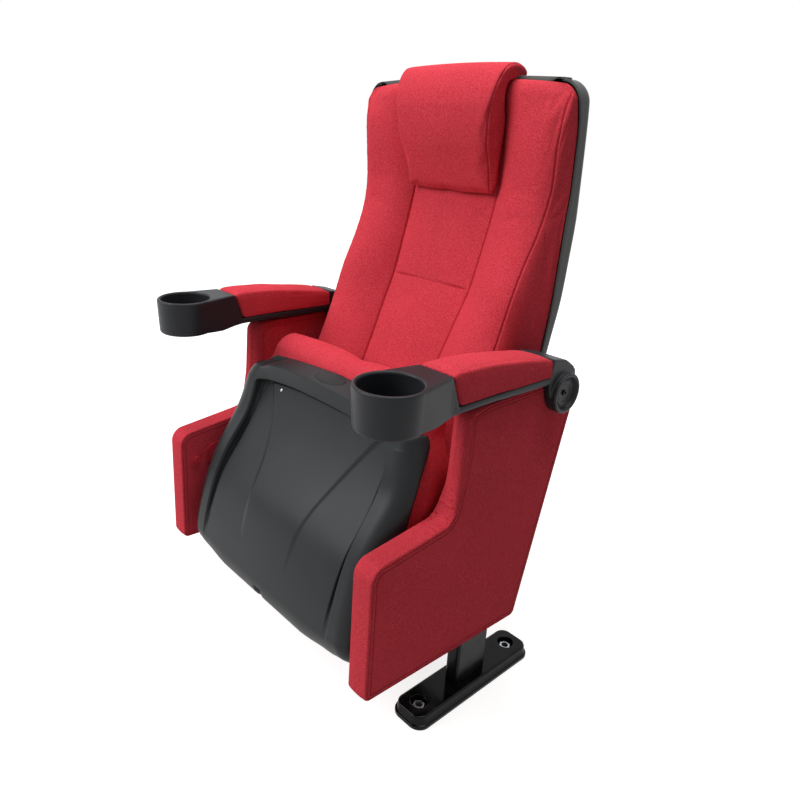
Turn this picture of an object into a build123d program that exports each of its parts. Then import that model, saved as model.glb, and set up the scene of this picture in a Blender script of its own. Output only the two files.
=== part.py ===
from build123d import *
from math import acos, asin, cos, degrees, radians, sin, sqrt
import os

# Tip-up auditorium seat, millimetres. Origin on the floor, in the middle of the four floor
# anchors. +Z is up, the sitter faces -Y, and +X is the sitter's left. The seat is drawn tipped up.

# Overall widths
ARM_CENTRES = 580.0
PANEL_THICK = 42.0
COVER_THICK = 4.0
BAND_THICK = 4.0

# Feet and posts
ANCHOR_SPACING = 240.0
ANCHOR_HOLE_R = 6.5
FOOT_LENGTH = 312.0
FOOT_WIDTH = 72.0
FOOT_HEIGHT = 24.0
FOOT_PLATE_THICK = 6.0
FOOT_LIP = 5.0
FOOT_COUNTERBORE_R = 13.0
FOOT_FLANGE_HEIGHT = 7.0
FOOT_STEP = 4.0
FOOT_CORNER_R = 16.0
FOOT_TOP = 4.0
WASHER_THICK = 2.0
NUT_WALL = 4.0
NUT_HEIGHT = 9.0
POST_LENGTH = 80.0
POST_WIDTH = 28.0
POST_WALL = 3.0
POST_TOP_Z = 300.0
POST_CLEARANCE = 0.3

# Seat hinge: the axis runs along X
HINGE_Y = -188.0
HINGE_Z = 306.0
SEAT_LEAN = 20.75
HINGE_PIN_R = 8.0
RUNNING_CLEARANCE = 0.05
BUSH_WALL = 3.0
FLANGE_R = 24.0
FLANGE_THICK = 4.0
STOP_LUG_R = 5.0
STOP_ARM = 46.0
STOP_LUG_ANGLE = 62.0
BUFFER_R = 8.0
SEAT_TRAVEL = 104.0
SEATED_GAP = 0.3

# Seat, in its own frame: s runs from the back edge to the nose, h from the rim plane to the top
HINGE_S = 184.0
HINGE_H = -20.0
PAN_SIDE_GAP = 12.0
PAN_NOSE_INSET = 27.0
PAN_NOSE_S = 438.5
PAN_CORNER_S = 421.0
PAN_CORNER_LENGTH = 40.0
PAN_WALL = 4.0
RECESS_S = 380.0
NOSE_EDGE_S = 412.0
NOSE_CORNER_H = 9.0
NOSE_MIDDLE_H = 3.0
LUG_GAP = 2.0
BUFFER_LENGTH = 8.0
BOARD_LOW_H = -6.0
BOARD_THICK = 12.0
BOARD_INSET = 21.0
BOARD_BACK_S = 14.0
BOARD_NOSE_S = 412.0
CUSHION_CROWN_H = 95.0
CUSHION_NOSE_S = 484.0
HINGE_PLATE_INSET = 15.0
HINGE_EYE_R = 17.0
PLATE_THICK = 4.0
BARREL_LENGTH = 40.0
BARREL_R = 13.0
NUMBER_WIDTH = 76.0
NUMBER_HEIGHT = 32.0
NUMBER_THICK = 1.2
NUMBER_SHARE = 0.5
PAN_SCREW_INSET = 108.0
PAN_SCREW_S = 350.0
PAN_SCREW_R = 5.0
PAN_SCREW_SHANK_R = 2.5
PAN_SCREW_HEAD = 2.0
SCREW_CLEARANCE = 0.1

# Armrests: hub centre and cup centre in side view
HUB_Y = 145.0
HUB_Z = 554.0
HUB_R = 31.0
HUB_PROUD = 19.0
HUB_RING = 7.0
HUB_CAP_THICK = 2.0
HUB_SCREW_R = 5.0
ARM_WIDTH = 70.0
STRIP_HEIGHT = 12.0
NECK_DROP = 6.0
ARM_SIDE_GAP = 0.6
ARM_PIN_R = 6.0
PANEL_LUG_R = 17.5
CUP_Y = -231.0
CUP_ABOVE_HUB = 90.0
CUP_HEIGHT = 67.0
CUP_R = 54.0
CUP_FOOT_R = 51.0
CUP_BORE_R = 47.0
CUP_FLOOR = 5.0
CUP_BEAD_R = 3.5
PAD_FRONT_Y = -139.0
PAD_BACK_Y = 105.0
PAD_BACK_ABOVE_HUB = 66.0
PAD_GAP = 0.5
PAD_EDGE_R = 9.0
ARM_BUFFER_Y = -60.0
ARM_BUFFER_R = 9.0
ARM_UNDER_ABOVE_HUB = 26.0
PANEL_TOP_ABOVE_HUB = 17.0

# Back
SHELL_SIDE_GAP = 19.0
SHELL_WALL = 4.0
SHELL_BULGE = 18.0
SHELL_CORNER = 14.0
SHELL_TOP_R = 34.0
CUSHION_TOP_R = 26.0
SHELL_BOTTOM_Z = 405.0
SHELL_TOP_Z = 1050.0
BACK_BOARD_THICK = 9.0
BACK_BOARD_INSET = 12.0
SCREW_X = 150.0
SCREW_HEIGHTS = (500.0, 880.0)
BRACKET_LOW_Z = 448.0
BRACKET_HEIGHT = 64.0
TUBE_Y = 115.0
TUBE_Z = 300.0
TUBE_R = 16.0
TUBE_WALL = 2.5

PANEL_X = ARM_CENTRES / 2
PANEL_IN = PANEL_X - PANEL_THICK / 2
PANEL_OUT = PANEL_X + PANEL_THICK / 2
CORE_IN = PANEL_IN + COVER_THICK
CORE_OUT = PANEL_OUT - COVER_THICK
ARM_IN = PANEL_X - ARM_WIDTH / 2
ARM_OUT = PANEL_X + ARM_WIDTH / 2
PAN_HALF_WIDTH = PANEL_IN - PAN_SIDE_GAP
BOARD_HALF_WIDTH = PAN_HALF_WIDTH - BOARD_INSET
HINGE_PLATE_X = PAN_HALF_WIDTH - HINGE_PLATE_INSET
SHELL_HALF_WIDTH = PANEL_IN - SHELL_SIDE_GAP
PANEL_TOP_Z = HUB_Z + PANEL_TOP_ABOVE_HUB
CUP_RIM_Z = HUB_Z + CUP_ABOVE_HUB
CUP_BOTTOM_Z = CUP_RIM_Z - CUP_HEIGHT
ARM_UNDER_Z = HUB_Z + ARM_UNDER_ABOVE_HUB
PAD_TOP_BACK_Z = HUB_Z + PAD_BACK_ABOVE_HUB
SEAT_PLACE = Pos(0, HINGE_Y, HINGE_Z) * Rot(-90 - SEAT_LEAN, 0, 0)

# Side panel outline in side view: y, z and corner radius
PANEL_OUTLINE = [
    (-271, 126, 12),
    (-268, 364, 27),
    (-96, 382, 26),
    (-97, PANEL_TOP_Z, 5),
    (HUB_Y + PANEL_LUG_R, PANEL_TOP_Z, 16),
    (HUB_Y + PANEL_LUG_R, HUB_Z - 14, 6),
    (HUB_Y + 56, HUB_Z - 46, 12),
    (102, 112, 12),
]

# Arm pad sections: y, then low edge, side edge and crown above the hub
PAD_SECTIONS = [
    (PAD_FRONT_Y, 83.2, 85, 87),
    (PAD_FRONT_Y + 6, 68.6, 90, 92),
    (PAD_FRONT_Y + 18.5, 38.5, 91, 94),
    (-60, 38.5, 89, 92),
    (0, 36.7, 82, 85),
    (60, 35.2, 73, 75),
    (PAD_BACK_Y - 5, 34.5, PAD_BACK_ABOVE_HUB - 1, PAD_BACK_ABOVE_HUB + 1),
    (PAD_BACK_Y - 0.5, PAD_BACK_ABOVE_HUB - 5, PAD_BACK_ABOVE_HUB - 4, PAD_BACK_ABOVE_HUB - 3),
]

# Back levels: z, joint line y, shell back y, bolster front y, bolster inset from the shell, centre y
BACK_LEVELS = [
    (416, 139, 163, -8, 24, 19),
    (520, 165, 188, 36, 23, 66),
    (624, 187, 214, 81, 23, 117),
    (690, 197, 230, 106, 24, 150),
    (760, 202, 238, 139, 25, 173),
    (832, 207, 244, 168, 21, 194),
    (880, 211, 243, 175, 15, 203),
    (975, 208, 236, 172, 11, 199),
    (1020, 199, 229, 182, 10, 192),
    (1035, 196, 225, 186, 10, 190),
    (1043, 195, 224, 188, 10, 189),
    (1046, 194, 223, 190, 10, 189),
]
CENTRE_HALF_WIDTH = 100.0
CENTRE_CROWN = 5.0
HEADREST_BACK_CROWN = 4.0

# Headrest levels: z, half width, front y, back y
HEADREST_LEVELS = [
    (858, 104, 181, 189.5),
    (880, 106, 174, 192.5),
    (912, 109, 162, 190),
    (975, 114, 145, 188),
    (1014, 117, 144, 182),
    (1050.4, 124, 156, 177),
]
HEADREST_ROLL = [
    (1050.4, 124, 156, 230),
    (1064, 121, 163, 228),
    (1076, 112, 176, 218),
    (1081, 98, 188, 206),
]

# Pan sections: s, rim inset from the half width, rim h, ridge inset, ridge h, groove h, centre h
PAN_SECTIONS = [
    (0, 11, 0, 31, -4, -4, -4),
    (12, 5, 0, 36, -30, -29, -30),
    (34, 2, 0, 38, -43, -41, -43),
    (97, 0, 0, 38, -53, -50, -54),
    (157, 0, 0, 38, -57, -50, -57),
    (200, 0, 0, 38, -54, -40, -47),
    (250, 0, 0, 38, -42, -26, -31),
    (316, 4, 1, 42, -26, -14, -17),
    (366, 8, 5, 45, -31, -10.5, -13),
    (RECESS_S, 10, 7, 47, -33, -11, -13.5),
    (RECESS_S + 3, 11, 7, 47, -33, -33, -33),
    (NOSE_EDGE_S, 17, 9, 51, -41, -42.5, -43),
    (NOSE_EDGE_S + 6, 19, 9, 53, -38, -39, -39),
    (PAN_NOSE_S + 0.5, 27, 9, 61, 1, 1, 1),
]
RIDGE_INSET = 38.0
RIM_EDGE_INSET = 55.0
GROOVE_INSET = 67.0
GROOVE_STEP = 16.0
CHANNEL_WIDTH = 4.0

# Cushion sections: s, inset from the pan's half width, low h, shoulder h, crown h
CUSHION_SECTIONS = [
    (2, 21, 4, 62, 76),
    (14, 14, BOARD_LOW_H, 74, 88),
    (60, 10, BOARD_LOW_H, 78, 94),
    (200, 10, BOARD_LOW_H, 76, CUSHION_CROWN_H),
    (340, 14, BOARD_LOW_H, 76, 94),
    (410, 31, BOARD_LOW_H, 74, 91),
    (414, 31, 10, 74, 91),
    (438, 33, 10, 70, 86),
    (468, 43, 26, 58, 76),
    (CUSHION_NOSE_S, 61, 34, 44, 58),
]


def side_plate(face, x_low, x_high):
    """A YZ outline made into a plate between two X planes."""
    return extrude(Plane.YZ.offset(x_low) * face, x_high - x_low)


def side_rod(y, z, radius, x_low, x_high):
    return side_plate(Pos(y, z) * Circle(radius), x_low, x_high)


def block(x_low, x_high, y_low, y_high, z_low, z_high):
    centre = Pos((x_low + x_high) / 2, (y_low + y_high) / 2, (z_low + z_high) / 2)
    return centre * Box(x_high - x_low, y_high - y_low, z_high - z_low)


def arc_points(start, via, end, count):
    """Chord points of the arc from start through via, without the end itself."""
    arc = ThreePointArc(start, via, end)
    spots = [arc @ (step / count) for step in range(count)]
    return [(spot.X, spot.Y) for spot in spots]


def symmetric_face(half):
    """A face from the points of its +X half, given from one end of the half to the other."""
    other = [(-x, y) for x, y in reversed(half) if x > 1e-6]
    return make_face(Polyline(*half, *other, close=True))


def panel_face(inset):
    points = [(y, z) for y, z, radius in PANEL_OUTLINE]
    radii = [radius for y, z, radius in PANEL_OUTLINE]
    face = make_face(FilletPolyline(*points, radius=radii, close=True))
    if inset:
        face = offset(face, -inset)
    return face


def panel_core():
    core = side_plate(panel_face(BAND_THICK), CORE_IN, CORE_OUT)
    core -= post_space(POST_TOP_Z)
    core -= side_rod(HINGE_Y, HINGE_Z, HINGE_PIN_R, CORE_IN - 1, CORE_OUT - 3)
    core -= side_rod(HUB_Y, HUB_Z, ARM_PIN_R + BUSH_WALL, CORE_IN - 1, CORE_OUT + 1)
    return core


def post_space(top_z):
    half_x = POST_WIDTH / 2 + POST_CLEARANCE
    half_y = POST_LENGTH / 2 + POST_CLEARANCE
    return block(PANEL_X - half_x, PANEL_X + half_x, -half_y, half_y, 0, top_z)


def edge_band():
    ring = panel_face(0) - panel_face(BAND_THICK)
    band = side_plate(ring, CORE_IN, CORE_OUT)
    return band - post_space(POST_TOP_Z)


def panel_cover(x_low, x_high, hinge_hole):
    cover = side_plate(panel_face(0), x_low, x_high)
    cover -= side_rod(HUB_Y, HUB_Z, ARM_PIN_R + BUSH_WALL, x_low - 1, x_high + 1)
    if hinge_hole:
        cover -= side_rod(HINGE_Y, HINGE_Z, HINGE_PIN_R, x_low - 1, x_high + 1)
    return cover


def foot_plate():
    plate = foot_inside()
    for y in (-ANCHOR_SPACING / 2, ANCHOR_SPACING / 2):
        plate -= Pos(0, y) * Circle(ANCHOR_HOLE_R)
    return Pos(PANEL_X, 0, 0) * extrude(plate, FOOT_PLATE_THICK)


def foot_cover():
    lower = extrude(RectangleRounded(FOOT_WIDTH, FOOT_LENGTH, FOOT_CORNER_R), FOOT_FLANGE_HEIGHT)
    narrow = FOOT_WIDTH - 2 * FOOT_STEP
    short = FOOT_LENGTH - 2 * FOOT_STEP
    upper = extrude(RectangleRounded(narrow, short, FOOT_CORNER_R - 2), FOOT_HEIGHT - FOOT_FLANGE_HEIGHT)
    upper = Pos(0, 0, FOOT_FLANGE_HEIGHT) * chamfer(upper.faces().sort_by(Axis.Z)[-1].edges(), FOOT_STEP)
    cover = Pos(PANEL_X, 0, 0) * (lower + upper)
    cover -= Pos(PANEL_X, 0, 0) * extrude(foot_inside(), FOOT_HEIGHT - FOOT_TOP)
    cover -= post_space(FOOT_HEIGHT + 1)
    for y in (-ANCHOR_SPACING / 2, ANCHOR_SPACING / 2):
        cover -= Pos(PANEL_X, y, FOOT_HEIGHT / 2) * Cylinder(FOOT_COUNTERBORE_R, FOOT_HEIGHT + 2)
    return cover


def foot_inside():
    width = FOOT_WIDTH - 2 * FOOT_LIP
    return RectangleRounded(width, FOOT_LENGTH - 2 * FOOT_LIP, FOOT_CORNER_R - 4)


def anchor_nuts():
    """The nuts that the four floor anchors take, open so that the anchors pass through."""
    nut = RegularPolygon(ANCHOR_HOLE_R + NUT_WALL, 6) - Circle(ANCHOR_HOLE_R)
    return at_anchors(Pos(0, 0, FOOT_PLATE_THICK + WASHER_THICK) * extrude(nut, NUT_HEIGHT))


def anchor_washers():
    ring = Circle(FOOT_COUNTERBORE_R - 1) - Circle(ANCHOR_HOLE_R)
    return at_anchors(Pos(0, 0, FOOT_PLATE_THICK) * extrude(ring, WASHER_THICK))


def at_anchors(piece):
    places = []
    for x in (-PANEL_X, PANEL_X):
        for y in (-ANCHOR_SPACING / 2, ANCHOR_SPACING / 2):
            places.append(Pos(x, y, 0) * piece)
    return Compound(children=places)


def post():
    outer = Rectangle(POST_WIDTH, POST_LENGTH)
    outer = fillet(outer.vertices(), 6)
    inner = offset(outer, -POST_WALL)
    height = POST_TOP_Z - FOOT_PLATE_THICK
    return Pos(PANEL_X, 0, FOOT_PLATE_THICK) * extrude(outer - inner, height)


def hinge_pin():
    x_low = HINGE_PLATE_X - PLATE_THICK + SEATED_GAP
    return side_rod(HINGE_Y, HINGE_Z, HINGE_PIN_R, x_low, CORE_OUT - 3)


def hinge_flange():
    ring = Circle(FLANGE_R) - Circle(HINGE_PIN_R)
    return side_plate(Pos(HINGE_Y, HINGE_Z) * ring, PANEL_IN - FLANGE_THICK, PANEL_IN)


def stop_angle():
    """Angle at the hinge between the lug and a buffer that touch."""
    reach = STOP_LUG_R + BUFFER_R + SEATED_GAP
    return 2 * degrees(asin(reach / 2 / STOP_ARM))


def stop_buffers():
    """The rubber stops on the panel that the seat's lug meets, tipped up and let down."""
    rods = []
    for angle in (STOP_LUG_ANGLE - stop_angle(), STOP_LUG_ANGLE + SEAT_TRAVEL + stop_angle()):
        y = HINGE_Y + STOP_ARM * cos(radians(angle))
        z = HINGE_Z + STOP_ARM * sin(radians(angle))
        rods.append(side_rod(y, z, BUFFER_R, PANEL_IN - BUFFER_LENGTH, PANEL_IN))
    return Compound(children=rods)


def stop_lugs():
    """The lugs on the pan's side walls that meet the rubber stops, in the seat's own frame."""
    angle = radians(STOP_LUG_ANGLE + 90 + SEAT_LEAN)
    round_face = Pos(STOP_ARM * cos(angle), STOP_ARM * sin(angle)) * Circle(STOP_LUG_R)
    length = PAN_SIDE_GAP - LUG_GAP + PAN_WALL
    right = extrude(Plane.YZ.offset(LUG_GAP - PANEL_IN) * round_face, length)
    left = extrude(Plane.YZ.offset(PANEL_IN - LUG_GAP - length) * round_face, length)
    return left + right


def arm_stop():
    """The rubber buffer on top of the panel that the armrest lies on."""
    low = PANEL_TOP_Z
    height = ARM_UNDER_Z - SEATED_GAP - low
    return Pos(PANEL_X, ARM_BUFFER_Y, low + height / 2) * Cylinder(ARM_BUFFER_R, height)


def arm_bush():
    ring = Circle(ARM_PIN_R + BUSH_WALL) - Circle(ARM_PIN_R + RUNNING_CLEARANCE)
    return side_plate(Pos(HUB_Y, HUB_Z) * ring, PANEL_IN, PANEL_OUT)


def arm_pin():
    return side_rod(HUB_Y, HUB_Z, ARM_PIN_R, ARM_IN + 4, ARM_OUT)


def from_hub(y, z):
    """A side-view point given from the hub's centre."""
    return (HUB_Y + y, HUB_Z + z)


def arm_side_face():
    """Side view of the armrest's neck, strip and rear block."""
    pad_seat = ARM_UNDER_Z + STRIP_HEIGHT
    points = [
        (CUP_Y + 10, CUP_BOTTOM_Z + CUP_FLOOR),
        (CUP_Y + 30, CUP_BOTTOM_Z - 6),
        (CUP_Y + 52, CUP_BOTTOM_Z - 3),
        (PAD_FRONT_Y + 21, ARM_UNDER_Z),
        (ARM_BUFFER_Y + 14, ARM_UNDER_Z),
        from_hub(-52, 20.5),
        from_hub(5, 20.5),
        from_hub(28, 30),
        from_hub(28, 38),
        from_hub(0, 57),
        (PAD_BACK_Y + PAD_GAP, PAD_TOP_BACK_Z),
        (PAD_BACK_Y - 5, pad_seat - 4),
        (ARM_BUFFER_Y, pad_seat),
        (PAD_FRONT_Y + 18, pad_seat),
        (PAD_FRONT_Y - PAD_GAP, CUP_RIM_Z - NECK_DROP),
        (CUP_Y + 10, CUP_RIM_Z - NECK_DROP),
    ]
    return make_face(Polyline(*points, close=True))


def arm_plan_face():
    """The armrest from above: straight beside the pad, and widening to meet the cup's wall."""
    half = ARM_WIDTH / 2
    reach = PAD_FRONT_Y - CUP_Y
    away = sqrt(half ** 2 + reach ** 2)
    turn = acos(CUP_FOOT_R / away)
    angle = asin(reach / away) - turn
    wide = CUP_FOOT_R * cos(angle)
    touch = CUP_Y + CUP_FOOT_R * sin(angle)
    rear = HUB_Y + HUB_R
    points = [(half, rear), (half, PAD_FRONT_Y), (wide, touch), (-wide, touch), (-half, PAD_FRONT_Y), (-half, rear)]
    return Pos(PANEL_X, 0) * make_face(Polyline(*points, close=True))


def arm_cheek_face():
    corners = ((-29, 12), (-41, 34), (-39, 65), (0, 57), (28, 36), (29, 6))
    link = make_face(Polyline(*[from_hub(*corner) for corner in corners], close=True))
    return link + Pos(HUB_Y, HUB_Z) * Circle(HUB_R)


def cup():
    """The cup holder as a turned body with a rounded rim bead."""
    profile = Polyline(
        (0, CUP_BOTTOM_Z),
        (CUP_FOOT_R - 6, CUP_BOTTOM_Z),
        (CUP_FOOT_R, CUP_BOTTOM_Z + 6),
        (CUP_R - 1, CUP_RIM_Z - 2 * CUP_BEAD_R),
        (CUP_R, CUP_RIM_Z - CUP_BEAD_R),
        (CUP_R - 1.5, CUP_RIM_Z),
        (CUP_BORE_R + 1.5, CUP_RIM_Z),
        (CUP_BORE_R, CUP_RIM_Z - CUP_BEAD_R),
        (CUP_BORE_R - 2, CUP_BOTTOM_Z + CUP_FLOOR),
        (0, CUP_BOTTOM_Z + CUP_FLOOR),
        close=True,
    )
    return Pos(PANEL_X, CUP_Y, 0) * revolve(Plane.XZ * make_face(profile), Axis.Z)


def cup_space():
    height = CUP_RIM_Z - CUP_BOTTOM_Z
    middle = Pos(PANEL_X, CUP_Y, CUP_BOTTOM_Z + CUP_FLOOR + height / 2)
    return middle * Cone(CUP_BORE_R - 2, CUP_BORE_R + 1, height)


def arm_body():
    body = side_plate(arm_side_face(), PANEL_X - CUP_R, PANEL_X + CUP_R)
    body &= Pos(0, 0, HUB_Z) * extrude(arm_plan_face(), CUP_ABOVE_HUB)
    body -= cup_space()
    cheek = arm_cheek_face()
    body += side_plate(cheek, ARM_IN, PANEL_IN - ARM_SIDE_GAP)
    body += side_plate(cheek, PANEL_OUT + ARM_SIDE_GAP, ARM_OUT)
    body += side_rod(HUB_Y, HUB_Z, HUB_R, PANEL_OUT + ARM_SIDE_GAP, PANEL_OUT + HUB_PROUD)
    body += cup()
    body -= side_rod(HUB_Y, HUB_Z, HUB_R - HUB_RING, ARM_OUT, PANEL_OUT + HUB_PROUD + 1)
    body -= side_rod(HUB_Y, HUB_Z, ARM_PIN_R, ARM_IN + 4, ARM_OUT + 1)
    return body


def pad_section(y, low, edge, crown):
    """Across the pad at y: its low edge, its rounded side edge and the crown of its top."""
    half = ARM_WIDTH / 2
    low, edge, crown = low + HUB_Z, edge + HUB_Z, crown + HUB_Z
    radius = min(PAD_EDGE_R, (edge - low) / 2)
    bend = 0.3 * radius
    points = [(half - 1, low)]
    points += arc_points((half, edge - radius), (half - bend, edge - bend), (half - radius, edge), 3)
    points += [(half - radius, edge), (0, crown)]
    plane = Plane(origin=(PANEL_X, y, 0), x_dir=(1, 0, 0), z_dir=(0, -1, 0))
    return plane * symmetric_face(points)


def arm_pad():
    return loft([pad_section(*row) for row in PAD_SECTIONS], ruled=True)


def hub_cap():
    disc = side_rod(HUB_Y, HUB_Z, HUB_R - HUB_RING, ARM_OUT, ARM_OUT + HUB_CAP_THICK)
    return disc + side_rod(HUB_Y, HUB_Z, HUB_SCREW_R, ARM_OUT, ARM_OUT + 2 * HUB_CAP_THICK)


def cross_tube():
    ring = Circle(TUBE_R) - Circle(TUBE_R - TUBE_WALL)
    tube = side_plate(Pos(TUBE_Y, TUBE_Z) * ring, -PANEL_IN + 4, PANEL_IN - 4)
    end = Pos(TUBE_Y, TUBE_Z) * RectangleRounded(56, 56, 8)
    for x_low in (-PANEL_IN, PANEL_IN - 4):
        tube += side_plate(end, x_low, x_low + 4)
    return tube


def back_bracket():
    """Channel between the panel's inner face and the back shell's side."""
    high = BRACKET_LOW_Z + BRACKET_HEIGHT
    y_low = level_at(BRACKET_LOW_Z, 1) + 6
    y_high = level_at(BRACKET_LOW_Z, 2) - SHELL_CORNER + 8
    outer = block(SHELL_HALF_WIDTH, PANEL_IN, y_low, y_high, BRACKET_LOW_Z, high)
    inner = block(SHELL_HALF_WIDTH + 4, PANEL_IN - 4, y_low - 1, y_high - 4, BRACKET_LOW_Z - 1, high + 1)
    return outer - inner


def level_at(z, column):
    """A column of the back's table at any height, by straight lines between its rows."""
    for low, high in zip(BACK_LEVELS, BACK_LEVELS[1:]):
        if z <= high[0]:
            break
    share = (z - low[0]) / (high[0] - low[0])
    return low[column] + share * (high[column] - low[column])


def shell_section(z, inset):
    half = SHELL_HALF_WIDTH - inset - corner_inset(z, SHELL_TOP_Z - inset, SHELL_TOP_R - inset)
    front = level_at(z, 1) - inset / 2
    back = level_at(z, 2) - inset
    side = (half, back - SHELL_CORNER)
    bend = (half - 0.3 * SHELL_CORNER, back - 0.3 * SHELL_CORNER)
    corner = (half - SHELL_CORNER, back)
    points = arc_points((-corner[0], back), (0, back + SHELL_BULGE), corner, 8)[4:]
    points += arc_points(corner, bend, side, 2)
    points += [side, (half, front)]
    return Pos(0, 0, z) * symmetric_face(points)


def shell_heights(inset):
    """Heights of the shell's sections, closer together where its upper corners are rounded."""
    top = SHELL_TOP_Z - inset
    straight = [row[0] for row in BACK_LEVELS if SHELL_BOTTOM_Z + 20 < row[0] < top - SHELL_TOP_R - 5]
    rounded = [top - share * (SHELL_TOP_R - inset) for share in (1.0, 0.5, 0.15, 0.0)]
    return [SHELL_BOTTOM_Z + inset] + straight + rounded


def back_shell():
    """The moulded back, a loft of sections hollowed towards the cushion."""
    outer = loft([shell_section(z, 0) for z in shell_heights(0)], ruled=True)
    inner = loft([shell_section(z, SHELL_WALL) for z in shell_heights(SHELL_WALL)], ruled=True)
    return outer - inner


def corner_inset(z, top, radius):
    """How far a rounded upper corner draws a side in at height z."""
    rise = z - (top - radius)
    if rise <= 0:
        return 0
    return radius - sqrt(max(radius ** 2 - rise ** 2, 0))


def back_board():
    rows = [row for row in BACK_LEVELS if row[0] < SHELL_TOP_Z - SHELL_TOP_R]
    front = [(row[1], row[0]) for row in rows]
    back = [(row[1] + BACK_BOARD_THICK, row[0]) for row in reversed(rows)]
    face = make_face(Polyline(*front, *back, close=True))
    half = SHELL_HALF_WIDTH - BACK_BOARD_INSET
    return side_plate(face, -half, half)


def back_section(row):
    z, joint, shell_back, front, inset, centre = row
    drawn_in = corner_inset(z, BACK_LEVELS[-1][0], CUSHION_TOP_R)
    edge = SHELL_HALF_WIDTH - SHELL_WALL - drawn_in
    half = SHELL_HALF_WIDTH - inset - drawn_in
    shoulder = (half + 4, front + 0.35 * (joint - front))
    crest = (half - 30, front - 3)
    foot = (CENTRE_HALF_WIDTH + 6, centre - 4)
    middle = ((crest[0] + foot[0]) / 2 - 4, (crest[1] + foot[1]) / 2 - 6)
    points = [(0, centre - CENTRE_CROWN), (CENTRE_HALF_WIDTH, centre)]
    points += arc_points(foot, middle, crest, 3)
    points += arc_points(crest, (half - 6, front + 3), shoulder, 3)
    points += [shoulder, (edge, joint)]
    return Pos(0, 0, z) * symmetric_face(points)


def back_cushion():
    return loft([back_section(row) for row in BACK_LEVELS], ruled=True)


def headrest_section(z, half, front, back):
    depth = back - front
    cheek = (half - 6, front + 0.25 * depth)
    points = arc_points((-cheek[0], cheek[1]), (0, front), cheek, 6)[3:]
    points += arc_points(cheek, (half, back - 0.4 * depth), (half - 4, back), 3)
    points += [(half - 4, back), (0, back + HEADREST_BACK_CROWN)]
    return Pos(0, 0, z) * symmetric_face(points)


def headrest_cushion():
    pad = loft([headrest_section(*row) for row in HEADREST_LEVELS], ruled=True)
    roll = loft([headrest_section(*row) for row in HEADREST_ROLL], ruled=True)
    return pad + roll


def back_screws():
    """Four screws through the back of the shell into the back board."""
    screws = []
    for z in SCREW_HEIGHTS:
        board = level_at(z, 1) + BACK_BOARD_THICK
        back = level_at(z, 2) + SHELL_BULGE * (1 - (SCREW_X / (SHELL_HALF_WIDTH - SHELL_CORNER)) ** 2)
        for x in (-SCREW_X, SCREW_X):
            shank = Pos(x, (board + back) / 2, z) * Rot(90, 0, 0) * Cylinder(3, back - board)
            head = Pos(x, back + 0.5, z) * Rot(90, 0, 0) * Cylinder(7, 3)
            screws.append(shank + head)
    return Compound(children=screws)


def seat_plane(s):
    """The plane across the seat at s, with x across and y as h, in the seat's own frame."""
    return Plane(origin=(0, HINGE_S - s, 0), x_dir=(1, 0, 0), z_dir=(0, -1, 0))


def pan_section(row, inset):
    s, rim, rim_h, ridge, ridge_h, groove_h, centre_h = row
    if s >= NOSE_EDGE_S:
        s = s - inset
    elif s >= RECESS_S:
        s = s + inset
    top = rim_h - HINGE_H + (3 if inset else 0)
    low = inset - HINGE_H
    rim = PAN_HALF_WIDTH - rim - inset
    ridge = PAN_HALF_WIDTH - ridge
    narrower = ridge / (PAN_HALF_WIDTH - RIDGE_INSET)
    groove = (PAN_HALF_WIDTH - GROOVE_INSET) * narrower
    edge = (PAN_HALF_WIDTH - RIM_EDGE_INSET) * narrower
    ridge_z = ridge_h + low
    bulge = (rim - 0.22 * (rim - ridge), ridge_z + 0.30 * (top - ridge_z))
    points = [(groove - GROOVE_STEP, centre_h + low), (groove, groove_h + low)]
    points += [(edge - CHANNEL_WIDTH, groove_h + low), (edge, ridge_z)]
    points += arc_points((ridge, ridge_z), bulge, (rim, top), 4)
    points += [(rim, top)]
    return seat_plane(s) * symmetric_face(points)


def seat_pan():
    """The underside moulding: a loft of sections, hollowed, with its nose rounded in plan."""
    outer = loft([pan_section(row, 0) for row in PAN_SECTIONS], ruled=True) & pan_plan(0)
    inner = loft([pan_section(row, PAN_WALL) for row in PAN_SECTIONS], ruled=True) & pan_plan(PAN_WALL)
    shell = outer - inner - nose_arch() - pan_screw_places(SCREW_CLEARANCE)
    shell -= side_rod_seat(BUSH_WALL + HINGE_PIN_R + 1, -PANEL_IN, PANEL_IN)
    return shell + stop_lugs()


def pan_plan(inset):
    """The pan seen from above, with its bowed nose, as a tall block in the seat's frame."""
    back = HINGE_S - inset
    front = HINGE_S - PAN_NOSE_S + inset
    corner = HINGE_S - PAN_CORNER_S + inset
    half = PAN_HALF_WIDTH + 5 - inset
    nose = PAN_HALF_WIDTH - PAN_NOSE_INSET - inset
    side = corner + PAN_CORNER_LENGTH
    lines = [
        Line((-half, back), (half, back)),
        Line((half, back), (half, side)),
        Line((half, side), (nose, corner)),
        ThreePointArc((nose, corner), (0, front), (-nose, corner)),
        Line((-nose, corner), (-half, side)),
        Line((-half, side), (-half, back)),
    ]
    return extrude(Pos(0, 0, -60) * make_face(lines), 140)


def nose_arch():
    """What is cut away above the arched front edge of the pan."""
    half = PAN_HALF_WIDTH - BOARD_INSET + 4
    high = 60 - HINGE_H
    lines = [
        ThreePointArc((-half, NOSE_CORNER_H - HINGE_H), (0, NOSE_MIDDLE_H - HINGE_H), (half, NOSE_CORNER_H - HINGE_H)),
        Line((half, NOSE_CORNER_H - HINGE_H), (half, high)),
        Line((half, high), (-half, high)),
        Line((-half, high), (-half, NOSE_CORNER_H - HINGE_H)),
    ]
    return extrude(seat_plane(BOARD_NOSE_S) * make_face(lines), 80)


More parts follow.
